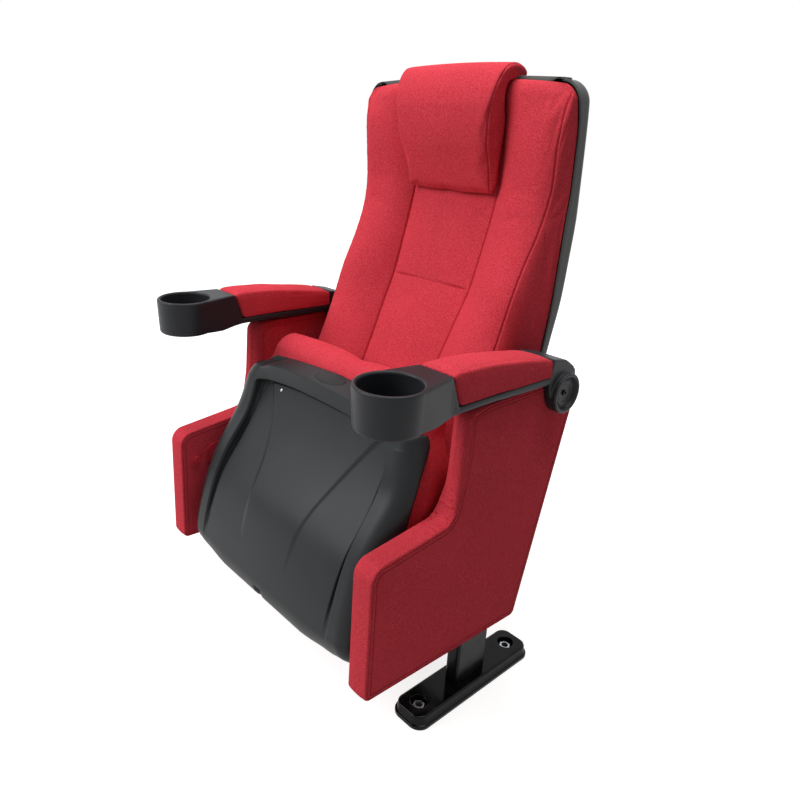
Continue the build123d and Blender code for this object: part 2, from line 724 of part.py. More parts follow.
def side_rod_seat(radius, x_low, x_high):
    """A rod on the hinge axis in the seat's own frame."""
    return extrude(Plane.YZ.offset(x_low) * Circle(radius), x_high - x_low)


def seat_board():
    board = RectangleRounded(2 * BOARD_HALF_WIDTH, BOARD_NOSE_S - BOARD_BACK_S, 18)
    middle = HINGE_S - (BOARD_NOSE_S + BOARD_BACK_S) / 2
    plate = extrude(Pos(0, middle, BOARD_LOW_H - HINGE_H) * board, BOARD_THICK)
    return plate & board_plan()


def board_plan():
    """Cuts the board's front corners to follow the pan's nose."""
    back = HINGE_S - BOARD_BACK_S
    front = HINGE_S - BOARD_NOSE_S
    points = [
        (-BOARD_HALF_WIDTH, back), (BOARD_HALF_WIDTH, back), (BOARD_HALF_WIDTH, front + 90),
        (BOARD_HALF_WIDTH - 16, front + 20), (BOARD_HALF_WIDTH - 34, front),
        (34 - BOARD_HALF_WIDTH, front), (16 - BOARD_HALF_WIDTH, front + 20), (-BOARD_HALF_WIDTH, front + 90),
    ]
    return extrude(Pos(0, 0, -60) * make_face(Polyline(*points, close=True)), 140)


def cushion_section(row):
    s, inset, low, shoulder, crown = row
    half = PAN_HALF_WIDTH - inset
    low = low - HINGE_H
    shoulder = shoulder - HINGE_H
    edge = half - 9
    points = arc_points((half - 5, low), (half, low + 0.45 * (shoulder - low)), (edge, shoulder), 3)
    points += arc_points((edge, shoulder), (0, crown - HINGE_H), (-edge, shoulder), 8)[:5]
    return seat_plane(s) * symmetric_face(points)


def seat_cushion():
    """The upholstered pad round the board, drawn in above the pan's front edge."""
    return loft([cushion_section(row) for row in CUSHION_SECTIONS], ruled=True) - seat_board()


def number_plate():
    """Bare oval plate on the sloping top of the nose."""
    low, high = PAN_SECTIONS[-2:]
    s = low[0] + NUMBER_SHARE * (high[0] - low[0])
    h = low[6] + NUMBER_SHARE * (high[6] - low[6])
    out = (0, low[6] - high[6], low[0] - high[0])
    face = Plane(origin=(0, HINGE_S - s, h - HINGE_H), x_dir=(1, 0, 0), z_dir=out)
    return extrude(face * SlotOverall(NUMBER_WIDTH, NUMBER_HEIGHT), NUMBER_THICK)


def pan_screw_places(clearance):
    """Two screws up through the recessed panel into the board; with a clearance, their holes."""
    face = [row for row in PAN_SECTIONS if row[0] > PAN_SCREW_S][0][6] - HINGE_H
    high = BOARD_LOW_H - HINGE_H
    x = PAN_HALF_WIDTH - PAN_SCREW_INSET
    head = Cylinder(PAN_SCREW_R + clearance, PAN_SCREW_HEAD + 2 * clearance)
    shank = Cylinder(PAN_SCREW_SHANK_R + clearance, high - face + PAN_SCREW_HEAD)
    screw = Pos(0, 0, face - PAN_SCREW_HEAD) * head + Pos(0, 0, (high + face - PAN_SCREW_HEAD) / 2) * shank
    return Compound(children=[Pos(side * x, HINGE_S - PAN_SCREW_S, 0) * screw for side in (-1, 1)])


def hinge_bracket():
    """Angle plate under the board that carries the hinge bush in the pan's side wall."""
    x_high = HINGE_PLATE_X
    x_low = x_high - PLATE_THICK
    under = BOARD_LOW_H - HINGE_H
    web = make_face(Polyline((-60, under), (60, under), (18, -8), (-18, -8), close=True))
    eye = Circle(HINGE_EYE_R) & Pos(0, under - HINGE_EYE_R) * Rectangle(80, 2 * HINGE_EYE_R)
    face = eye + web - Circle(HINGE_PIN_R + BUSH_WALL)
    plate = extrude(Plane.YZ.offset(x_low) * face, PLATE_THICK)
    flange = block(x_high - 44, x_low, -60, 60, under - PLATE_THICK, under)
    return plate + (flange - side_rod_seat(BARREL_R + 2, x_low - 60, x_low))


def hinge_bush():
    x_high = PAN_HALF_WIDTH + 2
    x_low = HINGE_PLATE_X - PLATE_THICK
    ring = Circle(HINGE_PIN_R + BUSH_WALL) - Circle(HINGE_PIN_R + RUNNING_CLEARANCE)
    return extrude(Plane.YZ.offset(x_low) * ring, x_high - x_low)


def spring_barrel():
    x_high = HINGE_PLATE_X - PLATE_THICK
    return side_rod_seat(BARREL_R, x_high - BARREL_LENGTH, x_high)


def write(name, shape):
    export_step(shape, f"parts/{name}.step")


def write_pair(name, shape):
    """A piece on the sitter's left and its mirror image on the right."""
    write(f"{name}_left", shape)
    write(f"{name}_right", mirror(shape, about=Plane.YZ))


def write_seat_pair(name, shape):
    write_pair(name, SEAT_PLACE * shape)


def main():
    os.makedirs("parts", exist_ok=True)
    write_pair("foot_plate", foot_plate())
    write_pair("foot_cover", foot_cover())
    write("anchor_nuts", anchor_nuts())
    write("anchor_washers", anchor_washers())
    write_pair("post", post())
    write_pair("panel_core", panel_core())
    write_pair("panel_outer_cover", panel_cover(CORE_OUT, PANEL_OUT, False))
    write_pair("panel_inner_cover", panel_cover(PANEL_IN, CORE_IN, True))
    write_pair("panel_edge_band", edge_band())
    write_pair("hinge_pin", hinge_pin())
    write_pair("hinge_flange", hinge_flange())
    write_pair("stop_buffers", stop_buffers())
    write_pair("arm_stop", arm_stop())
    write_pair("arm_bush", arm_bush())
    write_pair("arm_pin", arm_pin())
    write_pair("arm_body", arm_body())
    write_pair("arm_pad", arm_pad())
    write_pair("hub_cap", hub_cap())
    write_pair("back_bracket", back_bracket())
    write("cross_tube", cross_tube())
    write("back_shell", back_shell())
    write("back_board", back_board())
    write("back_cushion", back_cushion())
    write("headrest_cushion", headrest_cushion())
    write("back_screws", back_screws())
    write("seat_pan", SEAT_PLACE * seat_pan())
    write("seat_board", SEAT_PLACE * seat_board())
    write("seat_cushion", SEAT_PLACE * seat_cushion())
    write("number_plate", SEAT_PLACE * number_plate())
    write("pan_screws", SEAT_PLACE * pan_screw_places(0))
    write_seat_pair("hinge_bracket", hinge_bracket())
    write_seat_pair("hinge_bush", hinge_bush())
    write_seat_pair("spring_barrel", spring_barrel())


main()
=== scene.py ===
# Tip-up auditorium seat: camera, light, finishes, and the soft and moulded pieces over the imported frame.
from math import cos, pi, radians, sin, sqrt

import bmesh
import bpy
import numpy as np
from mathutils import Matrix, Vector
from mathutils.bvhtree import BVHTree
from mathutils.geometry import delaunay_2d_cdt


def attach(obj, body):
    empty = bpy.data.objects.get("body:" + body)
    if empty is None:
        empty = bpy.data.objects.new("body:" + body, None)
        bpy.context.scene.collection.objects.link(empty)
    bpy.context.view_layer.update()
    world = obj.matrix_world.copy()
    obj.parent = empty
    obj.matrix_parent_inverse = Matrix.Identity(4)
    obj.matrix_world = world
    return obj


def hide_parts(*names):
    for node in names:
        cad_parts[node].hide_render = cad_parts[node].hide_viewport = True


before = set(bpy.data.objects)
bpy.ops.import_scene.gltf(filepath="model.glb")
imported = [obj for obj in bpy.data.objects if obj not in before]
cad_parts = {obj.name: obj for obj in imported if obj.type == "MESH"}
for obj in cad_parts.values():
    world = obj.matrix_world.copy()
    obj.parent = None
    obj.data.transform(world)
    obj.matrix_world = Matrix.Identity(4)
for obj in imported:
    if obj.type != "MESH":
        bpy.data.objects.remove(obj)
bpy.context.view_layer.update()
print("loaded", len(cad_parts), "nodes")

bpy.context.scene.view_settings.view_transform = "Standard"


# camera, from the photograph's own perspective
camera = {
    "place": (0.9309, -0.8627, 0.9814),
    "turn": 49.69,
    "down": 19.66,
    "roll": 1.55,
    "lens": 31.745,
    "shift": (0.0734, -0.0376),
}


def placeCamera():
    turn, down, roll = (radians(camera[key]) for key in ("turn", "down", "roll"))
    ahead = Vector((-sin(turn) * cos(down), cos(turn) * cos(down), -sin(down)))
    right = Vector((cos(turn), sin(turn), 0))
    above = right.cross(ahead)
    side = right * cos(roll) + above * sin(roll)
    top = above * cos(roll) - right * sin(roll)
    data = bpy.data.cameras.new("camera")
    data.sensor_width = 36
    data.lens = camera["lens"]
    data.shift_x, data.shift_y = camera["shift"]
    data.clip_start, data.clip_end = 0.05, 50
    eye = bpy.data.objects.new("camera", data)
    turned = Matrix((side, top, -ahead)).transposed().to_4x4()
    eye.matrix_world = Matrix.Translation(camera["place"]) @ turned
    bpy.context.scene.collection.objects.link(eye)
    bpy.context.scene.camera = eye


placeCamera()
print("camera placed")


# node and colour helpers
def linearColour(code):
    parts = [int(code[start:start + 2], 16) / 255 for start in (1, 3, 5)]
    return (*[part / 12.92 if part <= 0.04045 else ((part + 0.055) / 1.055) ** 2.4 for part in parts], 1.0)


def addNode(tree, kind, inputs=None, **settings):
    # an input may be a number, a socket, or a node that gives its first output
    node = tree.nodes.new(kind)
    for key, value in settings.items():
        setattr(node, key, value)
    for key, value in (inputs or {}).items():
        if isinstance(value, bpy.types.Node):
            value = value.outputs[0]
        if isinstance(value, bpy.types.NodeSocket):
            tree.links.new(value, node.inputs[key])
        else:
            node.inputs[key].default_value = value
    return node


def newMaterial(name):
    material = bpy.data.materials.new(name)
    material.use_nodes = True
    tree = material.node_tree
    shader = tree.nodes["Principled BSDF"]
    return material, tree, shader


# lights: one broad soft key from the front, a weak fill and the pale room round them
lighting = {
    "key": {"place": (-1.5, -2.7, 2.7), "size": 2.4, "power": 112},
    "top": {"place": (0.1, 0.3, 3.1), "size": 2.2, "power": 60},
    "side": {"place": (3.2, -0.5, 1.3), "size": 2.0, "power": 1.5},
    "aim": (0, 0, 0.5),
    "room": "#FFFFFF",
    "roomLight": 0.11,
}


def straightRays(tree):
    # 1 for camera, glossy and transmission rays, which see the white room
    rays = addNode(tree, "ShaderNodeLightPath")
    seen = addNode(tree, "ShaderNodeMath", {0: rays.outputs["Is Camera Ray"],
                                            1: rays.outputs["Is Glossy Ray"]}, operation="MAXIMUM")
    return addNode(tree, "ShaderNodeMath", {0: seen, 1: rays.outputs["Is Transmission Ray"]},
                   operation="MAXIMUM")


def placeLights():
    for name in ("key", "top", "side"):
        lamp = lighting[name]
        data = bpy.data.lights.new(name, "AREA")
        data.size = lamp["size"]
        data.energy = lamp["power"]
        light = bpy.data.objects.new(name, data)
        towards = Vector(lighting["aim"]) - Vector(lamp["place"])
        turned = towards.to_track_quat("-Z", "Y").to_matrix().to_4x4()
        light.matrix_world = Matrix.Translation(lamp["place"]) @ turned
        bpy.context.scene.collection.objects.link(light)
    world = bpy.data.worlds.new("room")
    bpy.context.scene.world = world
    world.use_nodes = True
    tree = world.node_tree
    back = tree.nodes["Background"]
    back.inputs["Color"].default_value = linearColour(lighting["room"])
    seen = straightRays(tree)
    level = addNode(tree, "ShaderNodeMix", {0: seen, 2: lighting["roomLight"], 3: 1.0}, data_type="FLOAT")
    tree.links.new(level.outputs[0], back.inputs["Strength"])


floorHalf = 6.0


def placeFloor():
    mesh = bpy.data.meshes.new("floor")
    corners = [(x * floorHalf, y * floorHalf, 0) for x, y in ((-1, -1), (1, -1), (1, 1), (-1, 1))]
    mesh.from_pydata(corners, [], [(0, 1, 2, 3)])
    floor = bpy.data.objects.new("floor", mesh)
    bpy.context.scene.collection.objects.link(floor)
    material, tree, shader = newMaterial("studioPaper")
    shader.inputs["Base Color"].default_value = linearColour("#B9B9B7")
    shader.inputs["Roughness"].default_value = 0.9
    place = addNode(tree, "ShaderNodeTexCoord")
    away = addNode(tree, "ShaderNodeVectorMath", {0: place.outputs["Object"]}, operation="LENGTH")
    level = addNode(tree, "ShaderNodeMapRange", {0: away.outputs["Value"], 1: 0.5, 2: 1.6, 3: 0.79, 4: 1.0})
    glow = addNode(tree, "ShaderNodeEmission", {"Color": (1, 1, 1, 1), "Strength": level})
    dark = addNode(tree, "ShaderNodeEmission", {"Color": (1, 1, 1, 1), "Strength": 0.0})
    seen = straightRays(tree)
    lift = addNode(tree, "ShaderNodeMixShader", {0: seen, 1: dark, 2: glow})
    total = addNode(tree, "ShaderNodeAddShader", {0: shader.outputs[0], 1: lift})
    tree.links.new(total.outputs[0], tree.nodes["Material Output"].inputs["Surface"])
    mesh.materials.append(material)


placeLights()
placeFloor()
print("lights and floor placed")


# finishes
def cloth(name, base, dark, pale, pitch=1.9, depth=0.35):
    # plain-woven wool and polyester seat cloth: soft matt threads about 1 mm thick, drawn nearly
    # twice as coarse so that they show, with flecks in the yarn and a short nap that catches light;
    # the colour carries painted shade in the hollows between the threads and is a little paler on their
    # tops
    material, tree, shader = newMaterial(name)
    guide = addNode(tree, "ShaderNodeTexCoord")
    place, facing = guide.outputs["Object"], guide.outputs["Normal"]
    scaled = addNode(tree, "ShaderNodeVectorMath", {0: place, "Scale": pi * 1000 / pitch},
                     operation="SCALE")
    drift = addNode(tree, "ShaderNodeTexNoise", {"Vector": place, "Scale": 90.0, "Detail": 1.0})
    drift = addNode(tree, "ShaderNodeVectorMath", {0: drift.outputs["Color"], "Scale": 2.2},
                    operation="SCALE")
    moved = addNode(tree, "ShaderNodeVectorMath", {0: scaled, 1: drift}, operation="ADD")
    waves = addNode(tree, "ShaderNodeVectorMath", {0: moved}, operation="SINE")
    wave = addNode(tree, "ShaderNodeSeparateXYZ", {0: waves})
    pairs = []
    for first, second in ((1, 2), (2, 0), (0, 1)):
        pairs.append(addNode(tree, "ShaderNodeMath", {0: wave.outputs[first], 1: wave.outputs[second]},
                             operation="MULTIPLY"))
    threads = addNode(tree, "ShaderNodeCombineXYZ", {0: pairs[0], 1: pairs[1], 2: pairs[2]})
    squared = addNode(tree, "ShaderNodeVectorMath", {0: facing, 1: facing}, operation="MULTIPLY")
    sharper = addNode(tree, "ShaderNodeVectorMath", {0: squared, 1: squared}, operation="MULTIPLY")
    weave = addNode(tree, "ShaderNodeVectorMath", {0: threads, 1: sharper}, operation="DOT_PRODUCT")
    total = addNode(tree, "ShaderNodeVectorMath", {0: sharper, 1: (1, 1, 1)}, operation="DOT_PRODUCT")
    weave = addNode(tree, "ShaderNodeMath", {0: weave.outputs["Value"], 1: total.outputs["Value"]},
                    operation="DIVIDE")
    weave = addNode(tree, "ShaderNodeMapRange", {0: weave, 1: -1.0, 2: 1.0, 3: 0.0, 4: 1.0})
    fleck = addNode(tree, "ShaderNodeTexNoise",
                    {"Vector": place, "Scale": 620.0, "Detail": 2.0, "Roughness": 0.6})
    fleckRange = addNode(tree, "ShaderNodeMapRange", {0: fleck, 1: 0.32, 2: 0.68})
    broad = addNode(tree, "ShaderNodeTexNoise", {"Vector": place, "Scale": 11.0, "Detail": 3.0})
    colour = addNode(tree, "ShaderNodeMix", {0: fleckRange, 6: linearColour(dark), 7: linearColour(pale)},
                     data_type="RGBA")
    colour = addNode(tree, "ShaderNodeMix", {0: 0.45, 6: linearColour(base), 7: colour.outputs[2]},
                     data_type="RGBA")
    toneAndWeaveShade = addNode(tree, "ShaderNodeMapRange", {0: broad, 1: 0.3, 2: 0.7, 3: 0.95, 4: 1.05})
    # painted shade: the colour darkens in the weave's hollows and is a little paler on the thread tops
    weaveHollowShade = addNode(tree, "ShaderNodeMapRange", {0: weave, 1: 0.0, 2: 1.0, 3: 0.88, 4: 1.06})
    toneAndWeaveShade = addNode(tree, "ShaderNodeMath", {0: toneAndWeaveShade, 1: weaveHollowShade}, operation="MULTIPLY")
    colour = addNode(tree, "ShaderNodeVectorMath", {0: colour.outputs[2], "Scale": toneAndWeaveShade},
                     operation="SCALE")
    tree.links.new(colour.outputs[0], shader.inputs["Base Color"])
    height = addNode(tree, "ShaderNodeMath", {0: fleck, 1: 0.6, 2: weave}, operation="MULTIPLY_ADD")
    bump = addNode(tree, "ShaderNodeBump", {"Strength": depth, "Distance": 0.0006, "Height": height})
    tree.links.new(bump.outputs[0], shader.inputs["Normal"])
    shader.inputs["Roughness"].default_value = 0.92
    shader.inputs["Specular IOR Level"].default_value = 0.12
    shader.inputs["Sheen Weight"].default_value = 0.07
    shader.inputs["Sheen Roughness"].default_value = 0.45
    shader.inputs["Sheen Tint"].default_value = linearColour("#F07078")
    return material


def moulding(name, base, paler, rough, grain=0.9, depth=0.12):
    # injection-moulded polypropylene: even colour, satin gloss broken by the tool's fine spark
    # grain, and slightly paler in random patches along sharp convex edges
    material, tree, shader = newMaterial(name)
    place = addNode(tree, "ShaderNodeTexCoord").outputs["Object"]
    grit = addNode(tree, "ShaderNodeTexNoise", {"Vector": place, "Scale": 1000 / grain, "Detail": 2.0})
    flow = addNode(tree, "ShaderNodeTexNoise", {"Vector": place, "Scale": 9.0, "Detail": 4.0})
    gloss = addNode(tree, "ShaderNodeMapRange", {0: flow, 1: 0.3, 2: 0.7, 3: rough - 0.05, 4: rough + 0.06})
    tree.links.new(gloss.outputs[0], shader.inputs["Roughness"])
    edge = addNode(tree, "ShaderNodeNewGeometry")
    # paler colour in random patches where the surface is sharply convex
    paleEdges = addNode(tree, "ShaderNodeMapRange", {0: edge.outputs["Pointiness"], 1: 0.53, 2: 0.62})
    patch = addNode(tree, "ShaderNodeMapRange", {0: flow, 1: 0.45, 2: 0.65, 3: 0.15, 4: 0.7})
    paleEdges = addNode(tree, "ShaderNodeMath", {0: paleEdges, 1: patch}, operation="MULTIPLY")
    tone = addNode(tree, "ShaderNodeMapRange", {0: flow, 1: 0.3, 2: 0.7, 3: 0.0, 4: 0.18})
    colour = addNode(tree, "ShaderNodeMix", {0: tone, 6: linearColour(base), 7: linearColour(paler)},
                     data_type="RGBA")
    colour = addNode(tree, "ShaderNodeMix", {0: paleEdges, 6: colour.outputs[2], 7: linearColour(paler)},
                     data_type="RGBA")
    tree.links.new(colour.outputs[2], shader.inputs["Base Color"])
    bump = addNode(tree, "ShaderNodeBump", {"Strength": depth, "Distance": 0.0002, "Height": grit})
    tree.links.new(bump.outputs[0], shader.inputs["Normal"])
    shader.inputs["IOR"].default_value = 1.49
    shader.inputs["Specular IOR Level"].default_value = 0.2
    return material


def metal(name, base, rough, scratch):
    # zinc-plated steel: bright bluish grey metal, dulled unevenly by handling
    material, tree, shader = newMaterial(name)
    place = addNode(tree, "ShaderNodeTexCoord").outputs["Object"]
    wear = addNode(tree, "ShaderNodeTexNoise", {"Vector": place, "Scale": 160.0, "Detail": 3.0})
    gloss = addNode(tree, "ShaderNodeMapRange",
                    {0: wear, 1: 0.3, 2: 0.7, 3: rough - scratch, 4: rough + scratch})
    tree.links.new(gloss.outputs[0], shader.inputs["Roughness"])
    colour = addNode(tree, "ShaderNodeMix", {0: wear, 6: linearColour(base), 7: linearColour("#8F9396")},
                     data_type="RGBA")
    tree.links.new(colour.outputs[2], shader.inputs["Base Color"])
    shader.inputs["Metallic"].default_value = 1.0
    return material


def enamel(name, base, rough, coat, peel=0.06):
    # enamel or powder baked on steel: an even deep colour under a thin clear gloss, with the faint
    # ripple of a sprayed coat and a film of dust
    material, tree, shader = newMaterial(name)
    place = addNode(tree, "ShaderNodeTexCoord").outputs["Object"]
    ripple = addNode(tree, "ShaderNodeTexNoise", {"Vector": place, "Scale": 260.0, "Detail": 1.0})
    dust = addNode(tree, "ShaderNodeTexNoise", {"Vector": place, "Scale": 34.0, "Detail": 5.0})
    gloss = addNode(tree, "ShaderNodeMapRange", {0: dust, 1: 0.4, 2: 0.75, 3: rough, 4: rough + 0.16})
    tree.links.new(gloss.outputs[0], shader.inputs["Roughness"])
    film = addNode(tree, "ShaderNodeMapRange", {0: dust, 1: 0.45, 2: 0.8, 3: 0.0, 4: 0.22})
    colour = addNode(tree, "ShaderNodeMix", {0: film, 6: linearColour(base), 7: linearColour("#3A3B3D")},
                     data_type="RGBA")
    tree.links.new(colour.outputs[2], shader.inputs["Base Color"])
    bump = addNode(tree, "ShaderNodeBump", {"Strength": peel, "Distance": 0.0003, "Height": ripple})
    tree.links.new(bump.outputs[0], shader.inputs["Normal"])
    shader.inputs["Specular IOR Level"].default_value = 0.1
    shader.inputs["Coat Weight"].default_value = coat
    shader.inputs["Coat Roughness"].default_value = 0.06
    return material


def plywood(name):
    # birch plywood seen at its faces and edges: pale straw wood with close brown grain lines
    material, tree, shader = newMaterial(name)
    place = addNode(tree, "ShaderNodeTexCoord").outputs["Object"]
    along = addNode(tree, "ShaderNodeMapping", {"Vector": place, "Scale": (9.0, 60.0, 60.0)})
    grain = addNode(tree, "ShaderNodeTexNoise",
                    {"Vector": along, "Scale": 4.0, "Detail": 5.0, "Distortion": 0.6})
    line = addNode(tree, "ShaderNodeMapRange", {0: grain, 1: 0.35, 2: 0.7})
    colour = addNode(tree, "ShaderNodeMix",
                     {0: line, 6: linearColour("#D9BE93"), 7: linearColour("#A9814F")}, data_type="RGBA")
    tree.links.new(colour.outputs[2], shader.inputs["Base Color"])
    bump = addNode(tree, "ShaderNodeBump", {"Strength": 0.15, "Distance": 0.0003, "Height": grain})
    tree.links.new(bump.outputs[0], shader.inputs["Normal"])
    shader.inputs["Roughness"].default_value = 0.62
    return material


seatCloth = cloth("wovenWoolCloth", "#CC2C3A", "#A61A29", "#EE6570")
thread = cloth("polyesterThread", "#5E111B", "#4A0D14", "#7A1F2A", pitch=0.8, depth=0.5)
panPlastic = moulding("mouldedPolypropylene", "#212325", "#393C3E", 0.42)
armPlastic = moulding("mouldedNylon", "#222326", "#3A3B3F", 0.42)
shellPlastic = moulding("mouldedAbsShell", "#4A4D4B", "#676A67", 0.42)
capPlastic = moulding("mouldedAcetalCap", "#0F1012", "#222326", 0.36)
rubber = moulding("vulcanisedRubber", "#1C1C1D", "#323233", 0.78, grain=1.6, depth=0.2)
redRubber = moulding("dyedStopRubber", "#B82935", "#C63A47", 0.7, grain=1.6, depth=0.2)
bushPlastic = moulding("castNylonBush", "#D8D4C6", "#B5B0A2", 0.40)
blackEnamel = enamel("bakedBlackEnamel", "#060607", 0.14, 0.09)
blackSteel = enamel("powderCoatedSteel", "#0C0C0D", 0.3, 0.07, peel=0.25)
redEnamel = enamel("clothColouredEnamel", "#BE2B37", 0.6, 0.1, peel=0.25)
zincSteel = metal("zincPlatedSteel", "#D3D6D8", 0.26, 0.08)
birch = plywood("birchPlywood")
print("finishes made")


# number helpers
def smoothRows(rows, at):
    # each column of a table against its first one, by a monotone cubic, at many places
    rows = np.array(rows, float)
    x, y = rows[:, 0], rows[:, 1:]
    step = np.diff(x)
    slope = np.diff(y, axis=0) / step[:, None]
    lean = np.zeros_like(y)
    lean[0], lean[-1] = slope[0], slope[-1]
    if len(x) > 2:
        before, after = slope[:-1], slope[1:]
        near = (2 * step[1:] + step[:-1])[:, None]
        far = (step[1:] + 2 * step[:-1])[:, None]
        same = before * after > 0
        blend = near / np.where(same, before, 1) + far / np.where(same, after, 1)
        lean[1:-1] = np.where(same, (near + far) / np.where(same, blend, 1), 0)
    at = np.clip(np.asarray(at, float), x[0], x[-1])
    low = np.clip(np.searchsorted(x, at, side="right") - 1, 0, len(step) - 1)
    t = ((at - x[low]) / step[low])[:, None]
    gap = step[low][:, None]
    start, end = y[low], y[low + 1]
    return (start * (2 * t ** 3 - 3 * t ** 2 + 1) + lean[low] * gap * (t ** 3 - 2 * t ** 2 + t)
            + end * (3 * t ** 2 - 2 * t ** 3) + lean[low + 1] * gap * (t ** 3 - t ** 2))


def lengthAlong(points):
    # the length of a line of points up to each of them
    return np.concatenate([[0], np.cumsum(np.linalg.norm(np.diff(points, axis=0), axis=1))])


def alongPoints(points, fractions):
    # a smooth line through flat points, sampled at shares of its chord length
    points = np.array(points, float)
    run = lengthAlong(points)
    return smoothRows(np.column_stack([run / run[-1], points]), fractions)


def ease(value, low, high):
    share = np.clip((np.asarray(value, float) - low) / (high - low), 0, 1)
    return share * share * (3 - 2 * share)


def cornerDraw(z, top, radius):
    # how far a rounded upper corner draws the half width in at height z
    rise = max(z - (top - radius), 0)
    return radius - sqrt(max(radius ** 2 - rise ** 2, 0))


def spread(marks, coarse, fine, reach):
    # places from the first mark to the last, fine near the marks between and coarse elsewhere
    places = [marks[0]]
    while places[-1] < marks[-1] - 1e-9:
        gap = min(abs(places[-1] + 1e-9 - mark) for mark in marks[1:-1]) if len(marks) > 2 else reach
        places.append(places[-1] + fine + (coarse - fine) * min(gap / reach, 1) ** 1.3)
    places = np.array(places)
    return marks[0] + (places - places[0]) * (marks[-1] - marks[0]) / (places[-1] - places[0])


def ripples(points, size, seed):
    # smooth repeatable unevenness between -1 and 1
    source = np.random.default_rng(seed)
    total = np.zeros(len(points))
    for wave in range(7):
        way = source.normal(size=3)
        way /= np.linalg.norm(way)
        total += np.sin(points @ way * (2 * pi / size) * source.uniform(0.7, 1.5)
                        + source.uniform(0, 2 * pi))
    return total / 4


# mesh helpers
def addPiece(name, points, faces, material, merge=0.00004):
    mesh = bpy.data.meshes.new(name)
    mesh.from_pydata([tuple(point) for point in np.asarray(points, float)], [], faces)
    mesh.validate()
    mesh.materials.append(material)
    mesh.shade_smooth()
    piece = bpy.data.objects.new(name, mesh)
    bpy.context.scene.collection.objects.link(piece)
    if merge:
        tidyMesh(piece, merge)
    return piece


def gridFaces(rows, columns, closed=False, start=0):
    faces = []
    for row in range(rows - 1):
        for column in range(columns if closed else columns - 1):
            after = (column + 1) % columns
            faces.append((start + row * columns + column, start + row * columns + after,
                          start + (row + 1) * columns + after, start + (row + 1) * columns + column))
    return faces


def fan(pole, start, count, back=False):
    # triangles from a point to a closed ring of points
    ring = [(start + number, start + (number + 1) % count) for number in range(count)]
    return [(pole, after, first) if back else (pole, first, after) for first, after in ring]


def tidyMesh(piece, merge):
    # points nearer than merge (metres) become one, and every face is turned outwards
    work = bmesh.new()
    work.from_mesh(piece.data)
    bmesh.ops.remove_doubles(work, verts=work.verts, dist=merge)
    bmesh.ops.dissolve_degenerate(work, edges=work.edges, dist=merge / 4)
    bmesh.ops.recalc_face_normals(work, faces=work.faces)
    work.to_mesh(piece.data)
    work.free()


def setMaterial(piece, material):
    piece.data.materials.clear()
    piece.data.materials.append(material)


def places(piece, kind="co"):
    # a piece's points, or with "normal" their outward directions
    flat = np.empty(len(piece.data.vertices) * 3)
    piece.data.vertices.foreach_get(kind, flat)
    return flat.reshape(-1, 3)


def setPlaces(piece, points):
    piece.data.vertices.foreach_set("co", np.asarray(points, float).ravel())
    piece.data.update()


def bake(piece):
    # turns a piece and its live modifiers into one plain mesh
    graph = bpy.context.evaluated_depsgraph_get()
    done = bpy.data.meshes.new_from_object(piece.evaluated_get(graph), depsgraph=graph)
    piece.modifiers.clear()
    old = piece.data
    piece.data = done
    bpy.data.meshes.remove(old)


def divide(piece):
    finer = piece.modifiers.new("divide", "SUBSURF")
    finer.levels = finer.render_levels = 1
    finer.use_limit_surface = False
    bake(piece)


def addWall(piece, thickness):
    # a sheet gets its wall on the inner side, thickness in mm
    wall = piece.modifiers.new("wall", "SOLIDIFY")
    wall.thickness = thickness * 0.001
    wall.offset = -1
    bake(piece)


cushioning = {"frames": 20, "pressure": 4.0, "mass": 0.15, "stretch": 12.0, "bend": 0.3, "steps": 4}


def inflate(piece, held, cap):
    # foam swelling under its cover: cloth with air pressure, held where it is sewn or glued down
    before = places(piece)
    grip = piece.vertex_groups.new(name="held")
    for level in np.unique(np.round(held, 1)):
        if level > 0:
            grip.add([int(i) for i in np.nonzero(np.round(held, 1) == level)[0]], float(level), "REPLACE")
    sim = piece.modifiers.new("foam", "CLOTH")
    make = sim.settings
    make.quality = cushioning["steps"]
    make.mass = cushioning["mass"]
    make.tension_stiffness = make.compression_stiffness = cushioning["stretch"]
    make.shear_stiffness = 5.0
    make.bending_stiffness = cushioning["bend"]
    make.use_pressure = True
    make.uniform_pressure_force = cushioning["pressure"]
    make.vertex_group_mass = "held"
    make.effector_weights.gravity = 0
    sim.collision_settings.use_collision = False
    sim.point_cache.frame_start, sim.point_cache.frame_end = 1, cushioning["frames"]
    scene = bpy.context.scene
    for number in range(1, cushioning["frames"] + 1):
        scene.frame_set(number)
    graph = bpy.context.evaluated_depsgraph_get()
    shown = piece.evaluated_get(graph).to_mesh()
    after = np.empty(len(shown.vertices) * 3)
    shown.vertices.foreach_get("co", after)
    piece.modifiers.clear()
    piece.vertex_groups.clear()
    scene.frame_set(1)
    move = after.reshape(-1, 3) - before
    size = np.linalg.norm(move, axis=1)
    limit = cap * (1 - np.asarray(held))
    soft = limit * np.tanh(size / np.maximum(limit, 1e-9))
    setPlaces(piece, before + move * (soft / np.maximum(size, 1e-12))[:, None])
    print("swelled", piece.name, "mean", round(float(soft.mean()) * 1000, 2), "mm")


